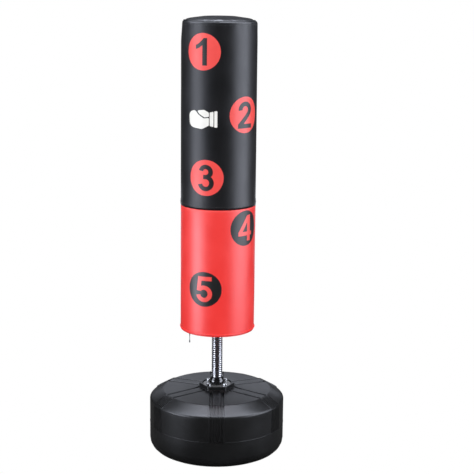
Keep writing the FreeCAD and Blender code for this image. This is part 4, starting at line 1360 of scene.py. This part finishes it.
class Numeral(Enum):
    """The plain bold numerals, drawn 104 mm tall about their own centre."""

    ONE = 1
    TWO = 2
    THREE = 3
    FOUR = 4
    FIVE = 5

    def outlines(self) -> list[list[Vector]]:
        """Return the numeral's outer outline, then any hole in it, in millimetres."""
        if self is Numeral.ONE:
            return [flat_points((-2, -52), (17, -52), (17, 52), (3, 52), (-6, 42), (-17, 32), (-31, 25),
                                (-31, 9), (-16, 15), (-2, 25))]
        if self is Numeral.TWO:
            return [flat_points((-35, -52), (35, -52), (35, -35), (-8, -35))
                    + arc_points((0, 20), (33, 32), -35, 185) + arc_points((0, 20), (14.5, 14), 185, -35)
                    + flat_points((-35, -36))]
        if self is Numeral.THREE:
            return [arc_points((0, 23.5), (29, 28.5), 168, -45) + arc_points((0, -20), (33, 32), 45, -168)
                    + arc_points((0, -20), (14.5, 15), -168, 90) + flat_points((-10, -5), (-10, 12))
                    + arc_points((0, 23.5), (11, 11.5), -90, 168)]
        if self is Numeral.FOUR:
            return [flat_points((9, 52), (28, 52), (28, -14), (37, -14), (37, -30), (28, -30), (28, -52),
                                (9, -52), (9, -30), (-36, -30), (-36, -15)),
                    flat_points((9, -14), (9, 23), (-16, -14))]
        return [flat_points((-26, 52), (31, 52), (31, 35), (-11, 35), (-13.5, 14.5))
                + arc_points((-1, -18), (34, 34), 108, -168) + arc_points((-1, -18), (15.5, 16.5), -168, 142)
                + flat_points((-32, -6))]


@dataclass(frozen=True)
class Target:
    """A round printed target with a numeral, curved to the skin."""

    node: str
    numeral: Numeral
    red: bool
    grid: float = 5 * MM
    film: float = 0.3 * MM

    def build(self, tree: BVHTree) -> None:
        """Print the disc on the skin and the numeral on the disc.

        Args:
            tree: search tree of the skin.
        """
        span = Span.of(self.node)
        bearing, radius = self.aim(), (span.top - span.bottom) / 2
        disc = bmesh.new()
        bmesh.ops.create_circle(disc, cap_ends=True, segments=96, radius=radius)
        disc_finish, ink_finish = (RED_PRINT, BLACK_PRINT) if self.red else (BLACK_PRINT, RED_PRINT)
        slots = ("red_print", "black_print") if self.red else ("black_print", "red_print")
        lay_on_skin(disc, tree, bearing, span.centre.z, 0.12 * MM, self.grid)
        thicken(disc, self.film)
        Part(f"{self.node}_disc", "bag", slots[0], (self.node,)).make(disc, disc_finish.material(), 50)
        ink = fill_outlines([[p * MM for p in loop] for loop in self.numeral.outlines()])
        lay_on_skin(ink, tree, bearing, span.centre.z, 0.5 * MM, self.grid)
        thicken(ink, 0.15 * MM)
        Part(f"{self.node}_numeral", "bag", slots[1]).make(ink, ink_finish.material(), 50)

    def aim(self) -> float:
        """Return the bearing of the target's middle, from where its node lies."""
        verts = frame["nodes"][self.node].data.vertices
        middle = sum((v.co for v in verts), Vector()) / len(verts)
        return bearing_of(middle)


def lay_on_skin(mesh: BMesh, tree: BVHTree, bearing: float, height: float, proud: float, grid: float) -> None:
    """Wrap a flat mesh round the bag.

    Args:
        mesh: a flat mesh about its own centre, X to the right and Y up.
        tree: search tree of the skin.
        bearing: bearing of the mesh's centre.
        height: height of the mesh's centre.
        proud: distance outside the skin.
        grid: pitch of the lines that let it bend.
    """
    dice(mesh, grid)
    for vert in mesh.verts:
        turn = math.degrees(vert.co.x / BAG_RADIUS)
        vert.co = on_skin(tree, bearing + turn, height + vert.co.y, proud)
    bmesh.ops.recalc_face_normals(mesh, faces=mesh.faces)
    mesh.normal_update()
    face = next(iter(mesh.faces))
    if face.normal.dot(Vector((face.verts[0].co.x, face.verts[0].co.y, 0))) < 0:
        bmesh.ops.reverse_faces(mesh, faces=mesh.faces)


def thicken(mesh: BMesh, depth: float) -> None:
    """Give a thin sheet its thickness, towards the bag."""
    bmesh.ops.solidify(mesh, geom=mesh.faces, thickness=depth)
    bmesh.ops.recalc_face_normals(mesh, faces=mesh.faces)


@dataclass(frozen=True)
class GlovePicture:
    """A plain picture of a boxing glove, printed in white between two targets."""

    bearing: float = FRONT - 25.0
    height: float = 1384 * MM
    cuff_gap: float = 4.0

    def build(self, tree: BVHTree) -> None:
        """Print the glove and its cuff on the skin."""
        for name, outlines in (("glove_picture_hand", self.hand()), ("glove_picture_cuff", self.cuff())):
            mesh = fill_outlines([[p * MM for p in loop] for loop in outlines])
            lay_on_skin(mesh, tree, self.bearing, self.height, 0.25 * MM, 5 * MM)
            thicken(mesh, 0.15 * MM)
            Part(name, "bag", None).make(mesh, WHITE_PRINT.material(), 50)

    def hand(self) -> list[list[Vector]]:
        """Return the outlines of the padded hand and of the thumb that lies over it."""
        body = rounded_outline([
            (-60, -29, 24), (-64, 26, 26), (-34, 37, 14), (-17, 19, 9), (6, 5, 10), (27, 8, 4),
            (27, -22, 5), (-2, -37, 20),
        ], True, 8)
        thumb = rounded_outline([
            (-25, 35, 7), (8, 38, 12), (27, 28, 8), (27, 12, 3), (9, 9, 9), (-12, 21, 8),
        ], True, 6)
        return [body, thumb]

    def cuff(self) -> list[list[Vector]]:
        """Return the outline of the laced cuff."""
        left = 26 + self.cuff_gap
        return [rounded_outline([(left, -24, 3), (left, 29, 3), (45, 32, 3), (45, -27, 3)], True, 5),
                rounded_outline([(48, -28, 2), (48, 33, 2), (60, 35, 4), (60, -30, 4)], True, 5)]


# ---------------------------------------------------------------- zip
@dataclass
class Zip:
    """The zip round the underside: teeth, slider and hanging pull."""

    outer: Span = field(default_factory=lambda: Span.of("zip_teeth_outer"))
    slider_box: Span = field(default_factory=lambda: Span.of("zip_slider"))
    pull_box: Span = field(default_factory=lambda: Span.of("zip_pull"))
    radius: float = 136 * MM
    pitch: float = 2.4 * MM
    run: float = 312.0

    def build(self) -> None:
        """Build every piece of the zip."""
        self.teeth("zip_outer_teeth", "zip_teeth_outer", 2.0 * MM, 0.0)
        self.teeth("zip_inner_teeth", "zip_teeth_inner", -2.0 * MM, 0.5)
        self.slider()
        self.pull()

    @property
    def bearing(self) -> float:
        """Return the slider's bearing at rest."""
        return bearing_of(Vector(self.joint("pull_swing")["pos_m"]))

    def teeth(self, name: str, node: str, offset: float, phase: float) -> None:
        """Build one row of teeth on its narrow tape.

        Args:
            name: the row's name.
            node: the CAD node that it stands for.
            offset: distance of the row from the zip's middle line.
            phase: shift along the row, in teeth.
        """
        mesh = bmesh.new()
        height = self.outer.centre.z
        radius = self.radius + offset
        count = int(math.radians(self.run) * self.radius / self.pitch)
        for k in range(count):
            at = self.bearing - 6 + self.run * (k + phase) / count
            place = Matrix.Translation(direction(at) * radius + Vector((0, 0, height)))
            add_block(mesh, (1.9 * MM, 1.3 * MM, 1.5 * MM), place @ Matrix.Rotation(math.radians(at), 4, "Z"))
        Part(name, "bag", "zip_nylon", (node,)).make(mesh, ZIP_TEETH.material(), 30)

    def slider(self) -> None:
        """Build the slider with rounded plates, its web and the crown that carries the pull."""
        bottom = self.slider_box.bottom
        pivot = Vector(self.joint("pull_swing")["pos_m"]).z
        low = pivot + 3.2 * MM
        turn = Matrix.Rotation(math.radians(self.bearing), 4, "Z")
        mesh = bmesh.new()
        for size, middle in (((7.0, 12.0, 1.6), 0.8 * MM), ((6.0, 8.0, 0.96), 4.88 * MM)):
            place = Matrix.Translation((self.radius, 0, low + middle))
            add_block(mesh, tuple(s * MM for s in size), place)
        upright = [e for e in mesh.edges if abs(e.verts[0].co.z - e.verts[1].co.z) > 0.5 * MM]
        bmesh.ops.bevel(mesh, geom=upright, offset=1.8 * MM, offset_type="OFFSET", segments=4, profile=0.5,
                        affect="EDGES", clamp_overlap=True, material=-1)
        add_block(mesh, (1 * MM, 8 * MM, 3 * MM), Matrix.Translation((self.radius, 0, low + 3.1 * MM)))
        for side in (-1, 1):
            cheek = Matrix.Translation((self.radius, side * 2.7 * MM, (low + bottom) / 2 + 0.1 * MM))
            add_block(mesh, (2.6 * MM, 1.6 * MM, low - bottom), cheek)
        bevel_edges(mesh, 0.3 * MM, 50, 2)
        bar = Matrix.Translation((self.radius, 0, pivot)) @ Matrix.Rotation(math.pi / 2, 4, "X")
        add_rod(mesh, 0.9 * MM, 6.6 * MM, bar, 12)
        bmesh.ops.transform(mesh, matrix=turn, verts=mesh.verts)
        Part("zip_slider_body", "zip_slider", "zip_metal", ("zip_slider",)).make(mesh, NICKEL.material(), 40)

    def pull(self) -> None:
        """Build the hanging pull: an eye on the crown, a slim stem and a wider holed end."""
        pivot = Vector(self.joint("pull_swing")["pos_m"]).z
        low = self.pull_box.bottom
        top = pivot + 2.5 * MM
        outline = rounded_outline([
            (-1.5 * MM, top, 1.2 * MM), (-2.4 * MM, pivot - 2 * MM, 1 * MM),
            (-1.4 * MM, pivot - 8 * MM, 6 * MM), (-1.5 * MM, low + 13 * MM, 8 * MM),
            (-3.5 * MM, low + 8 * MM, 2 * MM), (-3.4 * MM, low, 2.4 * MM),
            (3.4 * MM, low, 2.4 * MM), (3.5 * MM, low + 8 * MM, 2 * MM), (1.5 * MM, low + 13 * MM, 8 * MM),
            (1.4 * MM, pivot - 8 * MM, 6 * MM), (2.4 * MM, pivot - 2 * MM, 1 * MM), (1.5 * MM, top, 1.2 * MM),
        ], True, 4)
        ring = arc_points((0, 0), (1.4, 1.4), 0, 342, 19)
        hole = [Vector((p.x * MM, p.y * MM + low + 4 * MM, 0)) for p in ring]
        mesh = fill_outlines([outline, hole])
        bmesh.ops.solidify(mesh, geom=mesh.faces, thickness=1.5 * MM)
        bmesh.ops.recalc_face_normals(mesh, faces=mesh.faces)
        middle = sum((v.co.z for v in mesh.verts), 0.0) / len(mesh.verts)
        bevel_edges(mesh, 0.25 * MM, 50, 2)
        stand = Matrix(((0, 0, 1, self.radius - middle), (1, 0, 0, 0), (0, 1, 0, 0), (0, 0, 0, 1)))
        turn = Matrix.Rotation(math.radians(self.bearing), 4, "Z")
        bmesh.ops.transform(mesh, matrix=turn @ stand, verts=mesh.verts)
        Part("zip_pull_tab", "zip_pull", "zip_metal", ("zip_pull",)).make(mesh, NICKEL.material(), 40)

    @staticmethod
    def joint(name: str) -> dict:
        """Return a joint of the frame by its name."""
        return next(j for j in frame["joints"] if j["name"] == name)


# ---------------------------------------------------------------- filling
@dataclass
class Filling:
    """The foam under the cover."""

    def build(self) -> None:
        """Build the firm core, the soft wrap and the end pad with softened edges."""
        for name, node, fill in (("firm_foam", "foam_core", 1.0), ("soft_wrap", "foam_wrap", 0.9),
                                 ("end_pad", "top_pad", 0.9)):
            span = Span.of(node)
            bore = {"foam_core": 83 * MM, "foam_wrap": 140.4 * MM}.get(node)
            edge = 3 * MM
            if bore is None:
                corners: list[Corner] = [(0, span.bottom), (span.radius, span.bottom, edge),
                                         (span.radius, span.bottom + 11 * MM, 8 * MM), (0, span.top)]
            else:
                corners = [(bore, span.bottom), (span.radius, span.bottom, edge),
                           (span.radius, span.top, edge), (bore, span.top)]
                if node == "foam_wrap":
                    corners[2:3] = [(span.radius, span.top - 95 * MM), (span.radius - 7 * MM, span.top, edge)]
            mesh = spin_outline(corners, 72, closed=bore is not None)
            piece = Part(name, "bag", "foam", (node,)).make(mesh, FOAM.material())


# ---------------------------------------------------------------- studio
@dataclass(frozen=True)
class Softbox:
    """A tall or wide soft lamp that faces a point and shows only as a sheen."""

    name: str
    bearing: float
    distance: float
    height: float
    size: tuple[float, float]
    power: float
    aim: float = 0.9
    colour: Corner = (0.91, 0.96, 1.1)

    def build(self) -> None:
        """Add the lamp, turned to its aim on the bag's axis."""
        data = bpy.data.lights.new(self.name, "AREA")
        data.shape = "RECTANGLE"
        data.size, data.size_y = self.size
        data.energy = self.power
        data.color = self.colour
        lamp = bpy.data.objects.new(self.name, data)
        lamp.visible_diffuse = False
        lamp.location = direction(FRONT + self.bearing) * self.distance + Vector((0, 0, self.height))
        target = Vector((0, 0, self.aim))
        lamp.rotation_euler = (target - lamp.location).to_track_quat("-Z", "Y").to_euler()
        bpy.context.scene.collection.objects.link(lamp)


@dataclass
class Studio:
    """The pale floor, the soft lamps, the background and the camera."""

    camera_distance: float = 4.96
    camera_height: float = 1.926
    camera_pitch: float = 11.76
    camera_yaw: float = 0.893
    camera_roll: float = 0.6
    lens: float = 94.94
    sensor: float = 36.0
    floor_radius: float = 30.0
    floor_depth: float = 0.3 * MM
    floor_shade: float = 0.05
    fill: float = 2.1
    mirrored: float = 0.05
    lamps: tuple[Softbox, ...] = (
        Softbox("left_narrow_softbox", -58, 2.6, 1.6, (0.9, 1.9), 16),
        Softbox("left_softbox", -76, 2.6, 1.15, (0.9, 2.8), 25),
        Softbox("right_narrow_softbox", 60, 2.6, 1.6, (0.9, 1.9), 18),
        Softbox("right_softbox", 76, 2.6, 1.15, (0.9, 2.8), 19),
        Softbox("right_far_softbox", 88, 2.6, 1.15, (0.9, 2.8), 24),
        Softbox("top_left_softbox", -90, 1.3, 3.0, (1.2, 2.0), 57, 0.3),
        Softbox("top_right_softbox", 90, 1.3, 3.0, (1.2, 2.0), 55, 0.3),
        Softbox("low_left_softbox", -60, 2.2, 0.3, (1.2, 0.5), 18, 0.2),
        Softbox("low_right_softbox", 60, 2.2, 0.3, (1.2, 0.5), 9, 0.2),
        Softbox("overhead_softbox", 0, 0.1, 3.0, (0.9, 0.9), 26, 1.0),
        Softbox("low_back_softbox", 180, 1.15, 0.66, (1.6, 0.5), 2, 0.27),
    )

    def build(self) -> None:
        """Build the whole studio."""
        self.floor()
        self.background()
        for lamp in self.lamps:
            lamp.build()
        self.camera()
        bpy.context.scene.view_settings.view_transform = "Standard"

    def floor(self) -> None:
        """Lay a large floor that looks white but throws little light back."""
        mesh = bmesh.new()
        bmesh.ops.create_circle(mesh, cap_ends=True, segments=96, radius=self.floor_radius,
                                matrix=Matrix.Translation((0, 0, -self.floor_depth)))
        data = bpy.data.meshes.new("studio_floor")
        mesh.to_mesh(data)
        mesh.free()
        pale = bpy.data.materials.new("studio_floor")
        pale.use_nodes = True
        tree = pale.node_tree
        tree.nodes.remove(tree.nodes["Principled BSDF"])
        seen = tree.nodes.new("ShaderNodeLightPath")
        kinds = ("Emission", "BsdfDiffuse", "MixShader")
        glow, matt, both = (tree.nodes.new(f"ShaderNode{kind}") for kind in kinds)
        set_inputs(matt, {"Color": (self.floor_shade,) * 3 + (1.0,)})
        tree.links.new(seen.outputs["Is Camera Ray"], both.inputs[0])
        tree.links.new(matt.outputs[0], both.inputs[1])
        tree.links.new(glow.outputs[0], both.inputs[2])
        tree.links.new(both.outputs[0], tree.nodes["Material Output"].inputs["Surface"])
        data.materials.append(pale)
        floor = bpy.data.objects.new("studio_floor", data)
        bpy.context.scene.collection.objects.link(floor)

    def background(self) -> None:
        """Make the background white to the eye, an even fill to matt colour and dark to reflections."""
        world = bpy.data.worlds.new("studio")
        bpy.context.scene.world = world
        world.use_nodes = True
        world.cycles.sampling_method = "NONE"
        tree = world.node_tree
        seen = tree.nodes.new("ShaderNodeLightPath")
        glossy = tree.nodes.new("ShaderNodeMix")
        camera = tree.nodes.new("ShaderNodeMix")
        for mix, name, low, high in ((glossy, "Is Glossy Ray", self.fill, self.mirrored),
                                     (camera, "Is Camera Ray", self.fill, 1.0)):
            mix.inputs[2].default_value = low
            mix.inputs[3].default_value = high
            tree.links.new(seen.outputs[name], mix.inputs[0])
        tree.links.new(glossy.outputs[0], camera.inputs[2])
        tree.links.new(camera.outputs[0], tree.nodes["Background"].inputs["Strength"])
        tree.nodes["Background"].inputs["Color"].default_value = (1.0, 1.0, 1.0, 1.0)

    def camera(self) -> None:
        """Stand the camera in front of the bag, a little above its top."""
        data = bpy.data.cameras.new("camera")
        data.lens = self.lens
        data.sensor_width = self.sensor
        data.clip_end = 100.0
        camera = bpy.data.objects.new("camera", data)
        turn = Matrix.Rotation(math.radians(-self.camera_yaw), 4, "Z")
        tilt = Matrix.Rotation(math.radians(90 - self.camera_pitch), 4, "X")
        roll = Matrix.Rotation(math.radians(self.camera_roll), 4, "Z")
        place = Matrix.Translation((0, -self.camera_distance, self.camera_height))
        camera.matrix_world = place @ turn @ tilt @ roll
        bpy.context.scene.collection.objects.link(camera)
        bpy.context.scene.camera = camera


def main() -> None:
    """Build the looks of the whole product, from the floor up."""
    logging.basicConfig(level=logging.INFO, format="%(name)s %(message)s")
    dress_frame()
    Tank().build()
    Anchor().build()
    Neck().build()
    Filling().build()
    skin = Cover().build()
    for target in (
        Target("target_1", Numeral.ONE, True),
        Target("target_2", Numeral.TWO, True),
        Target("target_3", Numeral.THREE, True),
        Target("target_4", Numeral.FOUR, False),
        Target("target_5", Numeral.FIVE, False),
    ):
        target.build(skin)
    GlovePicture().build(skin)
    Zip().build()
    Studio().build()


if __name__ == "__main__":
    main()
